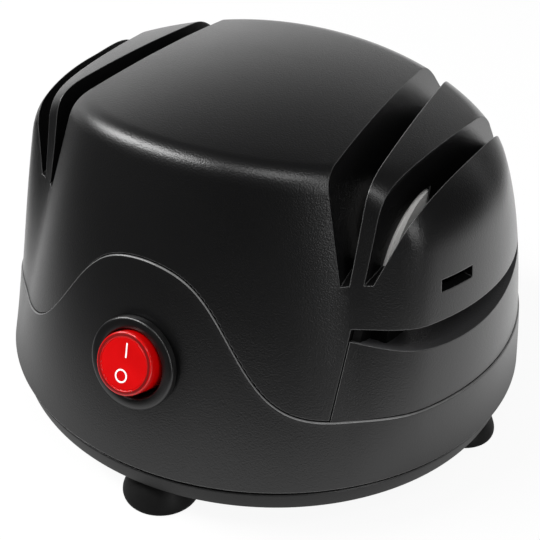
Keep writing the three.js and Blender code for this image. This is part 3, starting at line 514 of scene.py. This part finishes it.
# scale and detail of the patches, dark and pale colour, roughness and how far it wanders
finishes(clouded, {
    "base_edge_painted_highlight": (500, 2, grey(0.08), grey(0.15), 0.3, 0.05),
    "rocker_rim": (140, 2, (0.10, 0.004, 0.004, 1.0), (0.20, 0.008, 0.008, 1.0), 0.12, 0.05),
    "white_print": (700, 2, grey(0.78), grey(0.88), 0.42, 0.05),
    "nylon": (90, 3, (0.62, 0.60, 0.52, 1.0), (0.74, 0.72, 0.65, 1.0), 0.42, 0.1),
    "carbon": (1200, 3, (0.018, 0.018, 0.02, 1.0), (0.05, 0.05, 0.055, 1.0), 0.5, 0.2),
})


# Painted shade: nearly black, with little reflection, for walls deep inside.
@finish("hollow")
def painted_shade_hollow_finish(graph):
    inputs = clouded(graph, 90, 2, grey(0.0008), grey(0.0016), 0.6, 0.1)
    return {**inputs, "Specular IOR Level": 0.12}


@finish("rocker")
def rocker_finish(graph):
    deep, bright = (0.42, 0.0006, 0.0008, 1.0), (0.54, 0.0008, 0.0012, 1.0)
    inputs = clouded(graph, 120, 2, deep, bright, 0.14, 0.05)
    return {**inputs, "Coat Weight": 0.1, "Normal": graph.soft_edges(0.25 * mm)}


@finish("rocker_face")
def rocker_face_finish(graph):
    deep, bright = (0.40, 0.0005, 0.001, 1.0), (0.54, 0.0008, 0.0016, 1.0)
    return {**clouded(graph, 160, 2, deep, bright, 0.2, 0.05), "Specular IOR Level": 0.3}


@finish("rubber")
def rubber_finish(graph):
    inputs = clouded(graph, 300, 4, grey(0.0015), grey(0.004), 0.42, 0.15)
    pores = graph.bump(graph.noise(900, 3), 0.15, 0.05 * mm)
    return {**inputs, "Specular IOR Level": 0.18, "Normal": pores}


print("plastics and rubber:", sorted(materials))

# %% [markdown]
# ## Grit, metals and motor parts
# A grinding wheel is pressed grit: pale and fine for the finishing slot, grey-brown and coarse for the
# first one. The motor's parts are stacked steel sheets, enamelled wire and cast zinc. Sheets and turns
# could be modelled one by one, but they are under a millimetre thick and hardly show, so stripes do.

# %% Grit and metals
def grit(graph, dark, pale, scale, depth):
    grains = graph.node("ShaderNodeTexVoronoi", inputs={"Vector": graph.place(), "Scale": scale})
    cloud = graph.noise(scale / 3, 3)
    return {
        "Base Color": graph.blend(cloud, dark, pale),
        "Roughness": 0.75 + 0.2 * cloud,
        "Normal": graph.bump(grains, 0.6, depth),
    }


# dark and pale colour, how fine the grains are and how far they stand out
finishes(grit, {
    "fine_stone": ((0.84, 0.83, 0.81, 1.0), (0.94, 0.93, 0.91, 1.0), 4200, 0.05 * mm),
    "coarse_stone": ((0.12, 0.10, 0.085, 1.0), (0.30, 0.27, 0.24, 1.0), 2000, 0.12 * mm),
})


def metal(graph, colour, roughness, scratch_scale):
    scratches = graph.noise(scratch_scale, 4)
    return {
        "Base Color": graph.blend(scratches, darkened(colour, 0.7), colour),
        "Metallic": 1.0,
        "Roughness": roughness + 0.18 * (scratches - 0.5),
        "Normal": graph.bump(scratches, 0.12, 0.05 * mm, graph.soft_edges(0.15 * mm)),
    }


# colour, roughness and how fine the scratches are
finishes(metal, {
    "steel": ((0.62, 0.63, 0.64, 1.0), 0.28, 420),
    "zinc": ((0.46, 0.47, 0.49, 1.0), 0.48, 900),
    "bronze": ((0.42, 0.25, 0.10, 1.0), 0.42, 1400),
    "brass": ((0.72, 0.52, 0.18, 1.0), 0.3, 380),
})


def striped(graph, axis, pitch, dark, pale, roughness):
    """Sheets or turns laid side by side along one axis."""
    ridge = 0.5 + 0.5 * (graph.coordinate(axis) * (2 * math.pi / pitch)).sine()
    return {
        "Base Color": graph.blend(ridge, dark, pale),
        "Metallic": 0.9,
        "Roughness": roughness + 0.1 * (graph.noise(500, 3) - 0.5),
        "Normal": graph.bump(ridge, 0.6, 0.15 * mm),
    }


# axis, thickness of one sheet or turn, colour in the joints and on the ridges, roughness
finishes(striped, {
    "laminations": ("X", 0.9 * mm, (0.07, 0.07, 0.075, 1.0), (0.30, 0.31, 0.33, 1.0), 0.45),
    "field_wire": ("Z", 0.8 * mm, (0.16, 0.035, 0.012, 1.0), (0.62, 0.22, 0.07, 1.0), 0.3),
    "armature_wire": ("Y", 0.8 * mm, (0.18, 0.04, 0.014, 1.0), (0.66, 0.25, 0.08, 1.0), 0.3),
    "commutator_bars": ("Y", 2.2 * mm, (0.20, 0.09, 0.04, 1.0), (0.68, 0.38, 0.20, 1.0), 0.3),
})
print("materials:", len(materials), "in all")

# %% [markdown]
# ## Dressing a piece
# A finished piece needs three things: a material, a body to ride on, and the CAD nodes that it stands
# for. They are the same calls for every piece, so one helper makes them.

# %% Dress a piece
def dress(piece, material, slot, body, *nodes):
    """Gives a finished piece its material and body, and lets it stand for its CAD nodes."""
    piece.data.materials.clear()
    piece.data.materials.append(materials[material])
    if nodes:
        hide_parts(*nodes)
    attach(piece, body)
    return piece


# %% [markdown]
# ## Knife slots
# Each slot is the space between two flat walls that lean apart upwards and draw together towards the
# back. Two slots and the wedge between them, the fin, make one sharpening station. A slot could be
# drawn as faces, but as its walls are flat, the hull of its eight corners is the same with less to write.

# %% Slot walls
slot_floor_height = 50.5 * mm
slot_tip_depth = 0.578 * seam_radius
inner_slot_place = 0.584 * seam_radius
outer_slot_place = inner_slot_place + 4.4 * mm
slot_floor_width = 1.8 * mm
slot_lining = 2 * mm
slot_ceiling = apex_height + seam_radius / 4
# side of the slot, place at its front tip, lean and fan
centre_wall = (-1, inner_slot_place, -0.266, -0.052)
fin_inner_wall = (1, inner_slot_place, 0.0126, -0.095)
fin_outer_wall = (-1, outer_slot_place, -0.009, 0.095)
shoulder_wall = (1, outer_slot_place, 0.3, 0.045)


def slot_wall_x(wall, y, height):
    side, place, lean, fan = wall
    rise = height - slot_floor_height
    return place + side * slot_floor_width / 2 + lean * rise + fan * (y + slot_tip_depth)


def slot_floor(left, right, y):
    """The height at which the two walls are as far apart as the floor is wide."""
    (_, _, left_lean, left_fan), (_, _, right_lean, right_fan) = left, right
    narrowing = (left_fan - right_fan) * (y + slot_tip_depth)
    return slot_floor_height + narrowing / (right_lean - left_lean)


def slot_space(side, left, right, margin=0.0):
    corners = []
    for y in (-seam_radius, seam_radius):
        for height in (slot_floor(left, right, y) - margin, slot_ceiling):
            corners.append((side * (slot_wall_x(left, y, height) - margin), y, seam + height))
            corners.append((side * (slot_wall_x(right, y, height) + margin), y, seam + height))
    return hull("slot", corners)


def fin_space(side, inset, reach):
    corners = []
    for y in (-reach, reach):
        for height in (slot_floor_height - slot_lining - inset, slot_ceiling):
            corners.append((side * (slot_wall_x(fin_inner_wall, y, height) + inset), y, seam + height))
            corners.append((side * (slot_wall_x(fin_outer_wall, y, height) - inset), y, seam + height))
    return hull("fin", corners)


def slots_of(side, margin=0.0):
    return [
        slot_space(side, centre_wall, fin_inner_wall, margin),
        slot_space(side, fin_outer_wall, shoulder_wall, margin),
    ]


floors = [slot_floor(centre_wall, fin_inner_wall, y * mm) / mm for y in (-40, 0, 40)]
print("inner slot's floor, front to back:", [round(floor, 1) for floor in floors], "mm")

# %% [markdown]
# ## The top housing
# The real piece is one moulding. Drawn face by face it would be hard to keep closed, so it is carved: the
# outer form less the inner form, the channels that line the slots, then the overhang over the scissors
# recess, the wave along its lower edge, the slots and the arcs for the wheels.

# %% Wheels' place
wheel_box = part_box("grinding_wheel_fine")
axle = Vector((0, (wheel_box[0].y + wheel_box[1].y) / 2, (wheel_box[0].z + wheel_box[1].z) / 2))
wheel_radius = (wheel_box[1].z - wheel_box[0].z) / 2
along_axle = Matrix.Translation(axle) @ Matrix.Rotation(math.pi / 2, 4, "Y")
wheel_clearance, hub_room_radius = 1.1 * mm, 7.1 * mm
hub_room_inside, hub_room_outside = 4 * mm, 6.5 * mm


def wheel_well(side):
    near, far = wheel_box[0].x - gap, wheel_box[1].x + gap
    low, high = sorted((side * near / mm, side * far / mm))
    hub_ends = sorted((side * (near - hub_room_inside) / mm, side * (far + hub_room_outside) / mm))
    return [
        rod("well", (wheel_radius + wheel_clearance) / mm, low, high, 128, along_axle),
        rod("hub_room", hub_room_radius / mm, *hub_ends, 64, along_axle),
    ]


print("wheels:", round(wheel_radius / mm, 1), "mm in radius, axle", round(axle.z / mm, 1), "mm up")

# %% Forms that the moulding is carved with
spare = 20 * mm
wide = seam_radius + spare
wave_inner_radius = seam_radius - 40 * mm
outer_columns, inner_columns, wave_columns = 180, 72, 360
dense_rows, plain_rows = (16, 12, 10), (8, 6, 4)


def below_wave(name, lift):
    places = [
        lambda angle: at_angle(wide, angle, -spare),
        lambda angle: at_angle(wide, angle, wave_at(angle) + lift),
        lambda angle: at_angle(wave_inner_radius, angle, wave_at(angle) + lift),
    ]
    low, top = at_angle(0, 0, -spare), at_angle(0, 0, parting_height + lift)
    return lofted(name, wave_columns, places, low, top)


def outer_form(name):
    return body_form(name, 0.0, outer_columns, dense_rows)


def inner_form(name, inset=shell_wall):
    return body_form(name, inset, inner_columns, plain_rows, spare)


port_height, port_angle = 49.3 * mm, math.radians(70)
port_width, port_opening, port_depth = 11 * mm, 3.2 * mm, 9 * mm


def port_space():
    middle = at_angle(wall_radius(port_angle, port_height), port_angle, port_height)
    facing = Matrix.Translation(middle) @ Matrix.Rotation(port_angle, 4, "Z")
    return block("port", (port_width, port_depth, port_opening), facing)


# %% Top housing
plate = 2 * mm
panel_plane = inner_slot_place + 3 * mm
recess_top = 40.2 * mm
recess_level = seam + recess_top
recess_back, recess_front, recess_rear = 52.4 * mm, 46 * mm, 30 * mm
fin_hollow_reach = 24 * mm


def make_top_housing():
    shell = cut(outer_form("top_shell"), inner_form("hollow"))
    for side in (-1, 1):
        channel = join(*slots_of(side, slot_lining), fin_space(side, 0, seam_radius))
        shell = join(shell, common(channel, outer_form("limit")))
    ceiling = boxed(
        "ceiling", recess_back - plate, seam_radius, -recess_front, recess_rear,
        recess_level, recess_level + plate,
    )
    bulkhead = boxed(
        "bulkhead", panel_plane - plate, panel_plane, -seam_radius, -recess_front + plate,
        seam + parting_height, recess_level + plate,
    )
    for inner_wall in (ceiling, bulkhead):
        shell = join(shell, common(inner_wall, inner_form("limit", shell_wall / 2)))
    side_space = boxed("side_space", panel_plane, wide, -wide, wide, 0, recess_level)
    shell = cut(shell, side_space, port_space(), below_wave("wave", gap / 2))
    for side in (-1, 1):
        hollow = common(fin_space(side, slot_lining, fin_hollow_reach), inner_form("limit"))
        shell = cut(shell, hollow, *slots_of(side), *wheel_well(side))
    return smoothed(shell)


counted(dress(make_top_housing(), "housing", "shell", "housing", "top_housing"))

# %% [markdown]
# ## The base housing
# The base stands a little proud of the top, so its upper edge catches a line of light. That edge is
# lofted with the wall rather than bevelled afterwards, so that its rounding follows the wave evenly, and
# its faces get a paler material: a painted highlight for that line.

# %% Base housing
wall_lean = math.atan(front_lean)
switch_height, switch_offset = 27.2 * mm, 1.2 * mm
switch_point = at_angle(wall_radius(0, switch_height) + base_proud, 0, switch_height)
switch_point.x = switch_offset
at_switch = Matrix.Translation(switch_point) @ Matrix.Rotation(math.pi / 2 - wall_lean, 4, "X")
gland_height = 11 * mm
gland_point = at_angle(wall_radius(math.pi, gland_height) + base_proud, math.pi, gland_height)
gland_lean = math.atan(2 * back_shift * gland_height / back_shift_height**2)
at_gland = Matrix.Translation(gland_point) @ Matrix.Rotation(gland_lean - math.pi / 2, 4, "X")
switch_hole_radius, gland_hole_radius, hole_reach = 10.2, 4.5, 12
base_rows, base_rounding, rounding_turns = 14, 0.45 * mm, (22.5, 45, 67.5, 90)
lit_edge_above, lit_edge_below, lit_edge_inside = 0.05 * mm, 0.3 * mm, 0.6 * mm


def base_top(angle):
    return wave_at(angle) - gap / 2


def base_form():
    """The skirt up to the wave, with its upper edge rounded so that it catches the light."""

    def wall_row(share):
        def place(angle):
            height = share * (base_top(angle) - base_rounding)
            return at_angle(wall_radius(angle, height) + base_proud, angle, height)

        return place

    def edge_row(turn):
        def place(angle):
            start = base_top(angle) - base_rounding
            radius = wall_radius(angle, start) + base_proud - base_rounding * (1 - math.cos(turn))
            return at_angle(radius, angle, start + base_rounding * math.sin(turn))

        return place

    places = [wall_row(row / base_rows) for row in range(base_rows + 1)]
    places += [edge_row(math.radians(turn)) for turn in rounding_turns]
    places.append(lambda angle: at_angle(wave_inner_radius, angle, base_top(angle)))
    return lofted("base_shell", wave_columns, places, at_angle(0, 0, 0), at_angle(0, 0, parting_height))


def make_base_housing():
    skirt = cut(base_form(), inner_form("hollow"))
    switch_hole = rod("hole", switch_hole_radius, -hole_reach, hole_reach, 64, at_switch)
    gland_hole = rod("hole", gland_hole_radius, -hole_reach, hole_reach, 48, at_gland)
    return smoothed(cut(skirt, switch_hole, gland_hole))


base_shell = dress(make_base_housing(), "base", "base", "housing", "base_housing")
base_shell.data.materials.append(materials["base_edge_painted_highlight"])
# Painted highlight: the faces along the base's upper edge get the paler material.
for face in base_shell.data.polygons:
    spot = face.center
    angle, height = angle_of(spot), spot.z - seam
    below_top = base_top(angle) - height
    inward = wall_radius(angle, height) + base_proud - math.hypot(spot.x, spot.y)
    if -lit_edge_above < below_top < lit_edge_below and inward < lit_edge_inside:
        face.material_index = 1
counted(base_shell)

# %% [markdown]
# ## The scissors panel
# The panel closes the right side below the overhang. Its top edge is the rim of a shallow trough that
# drops inwards to the recess, where a blade meets the flat side of the fine wheel. The panel is cut from
# the same forms as the housing, so their seams meet. Its faces behind the outer wall get finishes of their
# own: the ledge that faces up is painted a grained grey as painted light, and the walls of the recess are
# painted nearly black as painted shade.

# %% Scissors panel
ledge_height = 33.1 * mm
ledge_radius = 125 * mm
ledge_inner = 30 * mm
ledge_angle, ledge_slope = math.radians(73), math.radians(14)
corner_reach, window_reach = 12 * mm, 9 * mm
skin, facing_up = 0.6 * mm, 0.5


def above_ledge(lift):
    """The space over the ledge: its edge dips in the middle, and it drops inwards from that edge."""

    def edge_height(angle):
        aside = seam_radius * math.sin(angle - ledge_angle)
        return ledge_height + lift + aside**2 / (2 * ledge_radius)

    def inner(angle):
        drop = (wall_radius(angle, ledge_height) - ledge_inner) * math.tan(ledge_slope)
        return at_angle(ledge_inner, angle, edge_height(angle) - drop)

    places = [
        inner,
        lambda angle: at_angle(wall_radius(angle, ledge_height), angle, edge_height(angle)),
        lambda angle: at_angle(wide, angle, edge_height(angle)),
        lambda angle: at_angle(wide, angle, recess_top + spare),
    ]
    low = at_angle(0, 0, ledge_height + lift - seam_radius * math.tan(ledge_slope))
    return lofted("above_ledge", wave_columns, places, low, at_angle(0, 0, recess_top + spare))


def make_scissors_panel():
    low, high = seam + parting_height + gap / 2, recess_level - gap
    edge, inside, turn_back = panel_plane + gap, recess_back - plate, -recess_front + corner_reach
    shell = common(outer_form("panel"), boxed("region", edge, wide, -wide, wide, low, high))
    shell = cut(shell, inner_form("hollow"))
    ledge = boxed("ledge", inside, wide, -recess_front, recess_rear, low, high)
    corner = boxed("corner", edge, inside + 2 * plate, -seam_radius, turn_back, low, high)
    ledge = common(join(ledge, corner), inner_form("limit", shell_wall / 2), above_ledge(-plate))
    back = boxed("back", inside, recess_back, turn_back, recess_rear, low, high)
    cheek = boxed("cheek", edge, recess_back, turn_back - plate, turn_back, low, high)
    front = boxed("front", edge, panel_plane + plate, -seam_radius, turn_back, low, high)
    back = common(join(back, cheek, front), inner_form("limit", shell_wall / 2))
    window = boxed(
        "window", inside - plate, recess_back + plate, axle.y - window_reach, axle.y + window_reach,
        seam + ledge_height - plate, recess_level,
    )
    return smoothed(join(cut(join(shell, ledge), above_ledge(0)), cut(back, window)))


panel = dress(make_scissors_panel(), "housing", "shell", "housing", "scissors_panel")
panel.data.materials.append(materials["recess"])
panel.data.materials.append(materials["hollow"])
# Painted light and shade: inside faces that face up get the paler recess finish, the others the nearly
# black hollow one.
for face in panel.data.polygons:
    spot = face.center
    inward = wall_radius(angle_of(spot), spot.z - seam) - math.hypot(spot.x, spot.y)
    if inward > skin:
        face.material_index = 1 if face.normal.z > facing_up else 2
counted(panel)

# %% [markdown]
# ## The bottom cover
# The cover's rim starts below a dark seam, and the four feet hang from the cover. Inside it keeps its CAD
# shape, with stands, bosses and vents. Only the rim shows from outside, so a finely turned rim takes the
# place of the faceted one.

# %% Bottom cover
merge_distance = 0.002 * mm
groove, lip, lip_corner = 1.1, 0.6, 0.18
rim_inner, core_overlap = 70.2, 0.4
rim_inset_low, rim_inset_top = 1.8 * mm, 0.4 * mm
core_below, core_above, rim_segments = 5, 15, 240


def merged_copy(node):
    """The node's loose triangles, merged into one closed mesh."""
    mesh = bmesh.new()
    mesh.from_mesh(frame["nodes"][node].data)
    bmesh.ops.remove_doubles(mesh, verts=mesh.verts, dist=merge_distance)
    return write_out(node + "_dressed", mesh)


def make_bottom_cover():
    low, top = foot_drop / mm, (seam - gap) / mm - groove
    outer_low, outer_top = (seam_radius - rim_inset_low) / mm, (seam_radius - rim_inset_top) / mm
    core = rod("core", rim_inner + core_overlap, low - core_below, top + core_above, rim_segments)
    rim = turned("rim", [
        (rim_inner, low), (outer_low - lip, low), (outer_low - lip_corner, low + lip_corner),
        (outer_low, low + lip), (outer_top, top - lip), (outer_top - lip_corner, top - lip_corner),
        (outer_top - lip, top), (rim_inner, top), (rim_inner, low),
    ], rim_segments)
    return smoothed(join(common(merged_copy("bottom_cover"), core), rim))


counted(dress(make_bottom_cover(), "cover", "base", "housing", "bottom_cover"))

# %% [markdown]
# ## Suction feet
# Each foot is a soft rubber cup on a neck that is pushed through the cover, with a bead round its lip.
# Everything about it is round, so one profile is turned: the hollow first, then the lip, the back of the
# cup, the neck and the barb that holds it.

# %% Suction feet
foot_profile = [
    (0, 3.6), (2.6, 3.45), (5.15, 2.88), (7.2, 1.35), (8.1, 0.25), (8.3, 0), (9.9, 0), (10.2, 0.25),
    (10.3, 0.7), (10.25, 1.25), (10.05, 1.9), (9.75, 2.7), (9.3, 3.7), (8.6, 4.9), (7.7, 6.1),
    (6.75, 7.3), (5.95, 8.3), (5.4, 9.1), (5.15, 9.7), (3.2, 9.7), (3.2, 12.8), (4.6, 12.8),
    (4.4, 13.4), (3.2, 15.4), (0, 15.4),
]
foot_sharp = 40


def make_foot(name):
    low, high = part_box(name)
    place = Matrix.Translation(((low.x + high.x) / 2, (low.y + high.y) / 2, 0))
    return smoothed(turned(name + "_dressed", foot_profile, 64, place), foot_sharp)


feet = [node for node in frame["nodes"] if node.startswith("suction_foot")]
for foot in feet:
    dress(make_foot(foot), "rubber", "rubber", "housing", foot)
print("feet:", feet)

# %% [markdown]
# ## Grinding wheels
# The wheels are pressed grit with a small chamfer, turned true on the shaft. Each is a turned ring that
# takes its width from the CAD's box.

# %% Grinding wheels
wheel_bore, wheel_chamfer = 3.3, 0.8


def make_wheel(name, stone):
    low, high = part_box(name)
    radius, x0, x1 = wheel_radius / mm, low.x / mm, high.x / mm
    profile = [
        (wheel_bore, x0), (radius - wheel_chamfer, x0), (radius, x0 + wheel_chamfer),
        (radius, x1 - wheel_chamfer), (radius - wheel_chamfer, x1), (wheel_bore, x1), (wheel_bore, x0),
    ]
    wheel = smoothed(turned(name + "_dressed", profile, 128, along_axle))
    return dress(wheel, stone, stone, "rotor", name)


counted(make_wheel("grinding_wheel_fine", "fine_stone"))
counted(make_wheel("grinding_wheel_coarse", "coarse_stone"))

# %% [markdown]
# ## The switch
# A round rocker switch snaps into the front wall: a black bezel round a red rocker. The rocker has a
# darker clear rim, a brighter disc in its face, and the marks for on and off in white. All of it is
# turned upright at the origin, in millimetres, and then moved to the leaning wall, because the profiles
# are easier to read there. Two pins on the rocker turn in two holes of the body.

# %% The switch's body
bezel_radius, bezel_low, bezel_top, rocker_bore = 11.8, 0.3, 2.3, 8.8
body_radius, body_end, bore_end = 9.9, -19, -6.2
pivot_depth, rocker_swing = 2.0, math.radians(17)
pivot_hole_radius, pivot_hole_end, pin_radius, pin_end = 1.3, 9.6, 1, 9.3
to_pivot = Matrix.Translation((0, 0, -pivot_depth * mm))
across_switch = to_pivot @ Matrix.Rotation(math.pi / 2, 4, "Y")
terminal_offset, room_width, room_across = 3.5, 5.4, 1.4
room_low, room_top = -19.5, -14.7


def make_switch_body():
    profile = [
        (0, body_end), (body_radius, body_end), (body_radius, bezel_low), (bezel_radius, bezel_low),
        (bezel_radius, bezel_top - 0.75), (bezel_radius - 0.08, bezel_top - 0.4),
        (bezel_radius - 0.3, bezel_top - 0.14), (bezel_radius - 0.65, bezel_top),
        (rocker_bore + 0.75, bezel_top), (rocker_bore + 0.3, bezel_top - 0.1),
        (rocker_bore + 0.06, bezel_top - 0.35), (rocker_bore, bezel_top - 0.8),
        (rocker_bore, bore_end), (0, bore_end),
    ]
    body = turned("switch_body_dressed", profile, 128, at_switch)
    holes = rod("pivots", pivot_hole_radius, -pivot_hole_end, pivot_hole_end, 32, at_switch @ across_switch)
    body = cut(body, holes)
    size = Vector((room_width, room_across, room_top - room_low)) * mm
    for y in (terminal_offset, -terminal_offset):
        middle = Vector((0, y, (room_low + room_top) / 2)) * mm
        body = cut(body, block("room", size, at_switch @ Matrix.Translation(middle)))
    return smoothed(body)


counted(dress(make_switch_body(), "bezel", "bezel", "housing", "switch_body"))

# %% The rocker
rocker_radius, rocker_end, rocker_rise = 7.8, -4, 5.4
inlay_radius, inlay_depth = 6.45, 0.2
face_level = rocker_rise - inlay_depth
rocker_matrix = (
    at_switch @ to_pivot @ Matrix.Rotation(-rocker_swing / 2, 4, "X") @ to_pivot.inverted()
)


def make_rocker():
    profile = [
        (0, rocker_end), (rocker_radius, rocker_end), (rocker_radius, rocker_rise - 0.55),
        (rocker_radius - 0.06, rocker_rise - 0.3), (rocker_radius - 0.2, rocker_rise - 0.1),
        (rocker_radius - 0.45, rocker_rise), (inlay_radius + 0.2, rocker_rise),
        (inlay_radius + 0.05, rocker_rise - 0.06), (inlay_radius, face_level), (0, face_level),
    ]
    rocker = turned("switch_rocker_dressed", profile, 128)
    rocker = join(rocker, rod("pivots", pin_radius, -pin_end, pin_end, 32, across_switch))
    rocker.data.transform(rocker_matrix)
    return smoothed(rocker)


counted(dress(make_rocker(), "rocker", "rocker", "rocker", "switch_rocker"))

# %% [markdown]
# ## The rocker's rim, face and marks
# On the real rocker the rim and the disc are probably parts of one clear moulding, and the marks are
# printed. They could be painted with a mask, but each is a thin solid of its own here, sunk a little into
# the rocker, because its edge then stays sharp and catches the light.

# %% The rocker's rim, face and marks
def on_rocker(piece, material):
    piece.data.transform(rocker_matrix)
    return dress(smoothed(piece), material, "rocker", "rocker")


inlay_low, inlay_top, inlay_edge = face_level - 0.3, face_level + 0.1, inlay_radius - 0.02
inlay = turned("rocker_inlay", [
    (0, inlay_low), (inlay_edge, inlay_low), (inlay_edge, face_level + 0.03),
    (inlay_radius - 0.1, inlay_top), (0, inlay_top),
], 96)
counted(on_rocker(inlay, "rocker_face"))

rim_low, rim_top = rocker_rise - 0.1, rocker_rise + 0.05
rim_inside, rim_outside = inlay_radius + 0.22, rocker_radius - 0.42
rocker_rim = turned("rocker_rim", [
    (rim_inside, rim_low), (rim_outside, rim_low), (rim_outside, rim_top - 0.04),
    (rocker_radius - 0.5, rim_top), (inlay_radius + 0.3, rim_top), (rim_inside, rim_low),
], 96)
counted(on_rocker(rocker_rim, "rocker_rim"))

mark_low, mark_top = face_level + 0.05, face_level + 0.14
off_inside, off_outside, off_place = 1.3, 1.7, -3.05
ring = turned("mark_off", [
    (off_inside, mark_low), (off_outside, mark_low), (off_outside, mark_top), (off_inside, mark_top),
    (off_inside, mark_low),
], 64, Matrix.Translation((0, off_place * mm, 0)))
counted(on_rocker(ring, "white_print"))

on_width, on_length, on_place, on_turn = 0.38, 3.6, 3.4, math.radians(8)
on_middle = Vector((0, on_place, (mark_low + mark_top) / 2)) * mm
bar = block(
    "mark_on", Vector((on_width, on_length, mark_top - mark_low)) * mm,
    Matrix.Translation(on_middle) @ Matrix.Rotation(on_turn, 4, "Z"),
)
counted(on_rocker(bar, "white_print"))

# %% [markdown]
# ## Pieces that keep their CAD shape
# The motor, the screws and the other pieces inside are right as they are. They could be built again, but
# they hardly show. Each is copied instead, its loose triangles are merged so that it can be shaded
# smoothly, and the copy gets the finish.

# %% Copies with smooth shading
finish_of_slot = {
    "shell": "housing", "base": "base", "bezel": "bezel", "rocker": "rocker", "rubber": "rubber",
    "fine_stone": "fine_stone", "coarse_stone": "coarse_stone", "steel": "steel", "iron": "laminations",
    "zinc": "zinc", "copper": "field_wire", "bronze": "bronze", "brass": "brass", "carbon": "carbon",
    "fan": "nylon",
}
copy_sharp = 35
special_finish = {
    "armature_winding_left": "armature_wire",
    "armature_winding_right": "armature_wire",
    "commutator": "commutator_bars",
}
made_afresh = {
    "top_housing", "base_housing", "scissors_panel", "bottom_cover", "grinding_wheel_fine",
    "grinding_wheel_coarse", "switch_body", "switch_rocker", *feet,
}


def body_of_node(node):
    bodies = frame["record"]["behaviour"]["bodies"]
    return next(body for body, members in bodies.items() if node in members)


for part in frame["record"]["subparts"]:
    node, slot = part["node"], part["material_slot"]
    material = special_finish.get(node, finish_of_slot[slot])
    frame["nodes"][node].data.materials.clear()
    frame["nodes"][node].data.materials.append(materials[material])
    if node not in made_afresh:
        dress(smoothed(merged_copy(node), copy_sharp), material, slot, body_of_node(node), node)
print("copies:", len(frame["nodes"]) - len(made_afresh), "made afresh:", len(made_afresh))

# %% [markdown]
# ## Studio
# The object stands on a white sheet in a white room. Floor and background are white to the camera and
# keep only a faint shadow, while reflections see them darker, or brighter on one side. A room could be
# built and lit for that, but the kind of ray says it in a few nodes.

# %% Floor
floor_size, floor_middle = 0.42, (0, 0.2, 0)
lit_middle, lit_spread, lit_start, lit_end = 0.04, 0.85, 0.13, 0.31
shade_start, shade_end, shade_level = 0.08, 0.115, 0.24
floor_darkest, floor_brightest = 0.05, 1.4
glow_seen, glow_reflected = 0.92, 0.99
floor_mesh = bmesh.new()
bmesh.ops.create_grid(
    floor_mesh, x_segments=1, y_segments=1, size=floor_size, matrix=Matrix.Translation(floor_middle)
)
floor = as_object("floor", floor_mesh)


def floor_finish():
    """Matt. The camera sees it almost white, and reflections see a glow of painted light: bright at some
    way from the object and on one side, with painted shade near the object.
    """
    material = bpy.data.materials.new("floor")
    material.use_nodes = True
    graph = Graph(material.node_tree)
    matt = graph.node("ShaderNodeBsdfDiffuse", inputs={"Color": grey(0.8)})
    direct = graph.ray("Is Camera Ray")
    reflected = graph.ray("Is Glossy Ray") + graph.ray("Is Transmission Ray")
    length = {"operation": "LENGTH"}
    away = graph.node("ShaderNodeVectorMath", length, {0: graph.place()}, output="Value")
    # Painted light for reflections: a brighter pool on one side, and painted shade where the floor is near
    # the object.
    aside = (graph.coordinate("X") - lit_middle).size() - lit_spread * graph.coordinate("Y")
    lit = 1 - graph.ramp(aside, lit_start, lit_end)
    painted_shade_near_object = shade_level + (1 - shade_level) * graph.ramp(away, shade_start, shade_end)
    bright = floor_darkest + floor_brightest * lit * painted_shade_near_object
    inputs = {"Color": grey(1.0), "Strength": direct + reflected * bright}
    glow = graph.node("ShaderNodeEmission", inputs=inputs)
    share = glow_seen * direct + glow_reflected * reflected
    mixed = graph.node("ShaderNodeMixShader", inputs={0: share, 1: matt, 2: glow})
    graph.node("ShaderNodeOutputMaterial", inputs={"Surface": mixed})
    return material


floor.data.materials.append(floor_finish())
print("floor:", floor_size, "m to each side")

# %% Background
far_side, far_start, far_end = (-0.45, 0.9, 0), 0.4, 0.85
up, up_start, up_end = (0, 0, 1), 0.2, 0.62
backdrop_darkest, backdrop_brightest, fill = 0.045, 1.35, 0.35

world = bpy.data.worlds.new("studio")
bpy.context.scene.world = world
world.use_nodes = True
sky = Graph(world.node_tree)


def towards(direction):
    """How far a ray from the world comes from a direction, from -1 to 1."""
    return sky.dot(sky.node("ShaderNodeTexCoord", output="Generated"), Vector(direction).normalized())


behind = sky.ramp(towards(far_side), far_start, far_end)
low_down = 1 - sky.ramp(towards(up), up_start, up_end)
backdrop = backdrop_darkest + backdrop_brightest * behind * low_down
reflected = sky.ray("Is Glossy Ray") + sky.ray("Is Transmission Ray")
strength = sky.ray("Is Camera Ray") + reflected * backdrop + fill * sky.ray("Is Diffuse Ray")
background = sky.node("ShaderNodeBackground", inputs={"Color": grey(1.0), "Strength": strength})
sky.node("ShaderNodeOutputWorld", inputs={"Surface": background})
print("background:", len(world.node_tree.nodes), "nodes")

# %% [markdown]
# ## Lamps
# The highlights on black plastic are pictures of the lamps, so each lamp is placed for the highlight that
# it draws: one overhead in front, on the crown's front edge and the shoulders; a long bright one at the
# left, for the streak down the left side; and a narrow upright one at the right.

# %% Lamps
lamp_target = Vector((0, 0, 0.05))


def soft_light(name, towards_lamp, long_way, size, radiance):
    """A rectangular lamp a metre away that faces the object, with its long side in the way given."""
    data = bpy.data.lights.new(name, "AREA")
    data.shape = "RECTANGLE"
    data.size, data.size_y = size
    data.energy = radiance * math.pi * size[0] * size[1]
    back = Vector(towards_lamp).normalized()
    across = Vector(long_way) - Vector(long_way).dot(back) * back
    across.normalize()
    facing = Matrix((across, back.cross(across), back)).transposed().to_4x4()
    light = bpy.data.objects.new(name, data)
    bpy.context.scene.collection.objects.link(light)
    light.matrix_world = Matrix.Translation(lamp_target + back) @ facing
    print("lamp:", name, round(data.energy, 1), "W")


soft_light("overhead", (0.34, -0.38, 0.86), (1, 0, 0), (0.5, 0.28), 6)
soft_light("left", (-0.64, -0.38, 0.67), (0.79, -0.44, 0.43), (0.95, 0.26), 19)
soft_light("right", (0.84, -0.38, 0.35), (0, 0, 1), (0.7, 0.16), 8)
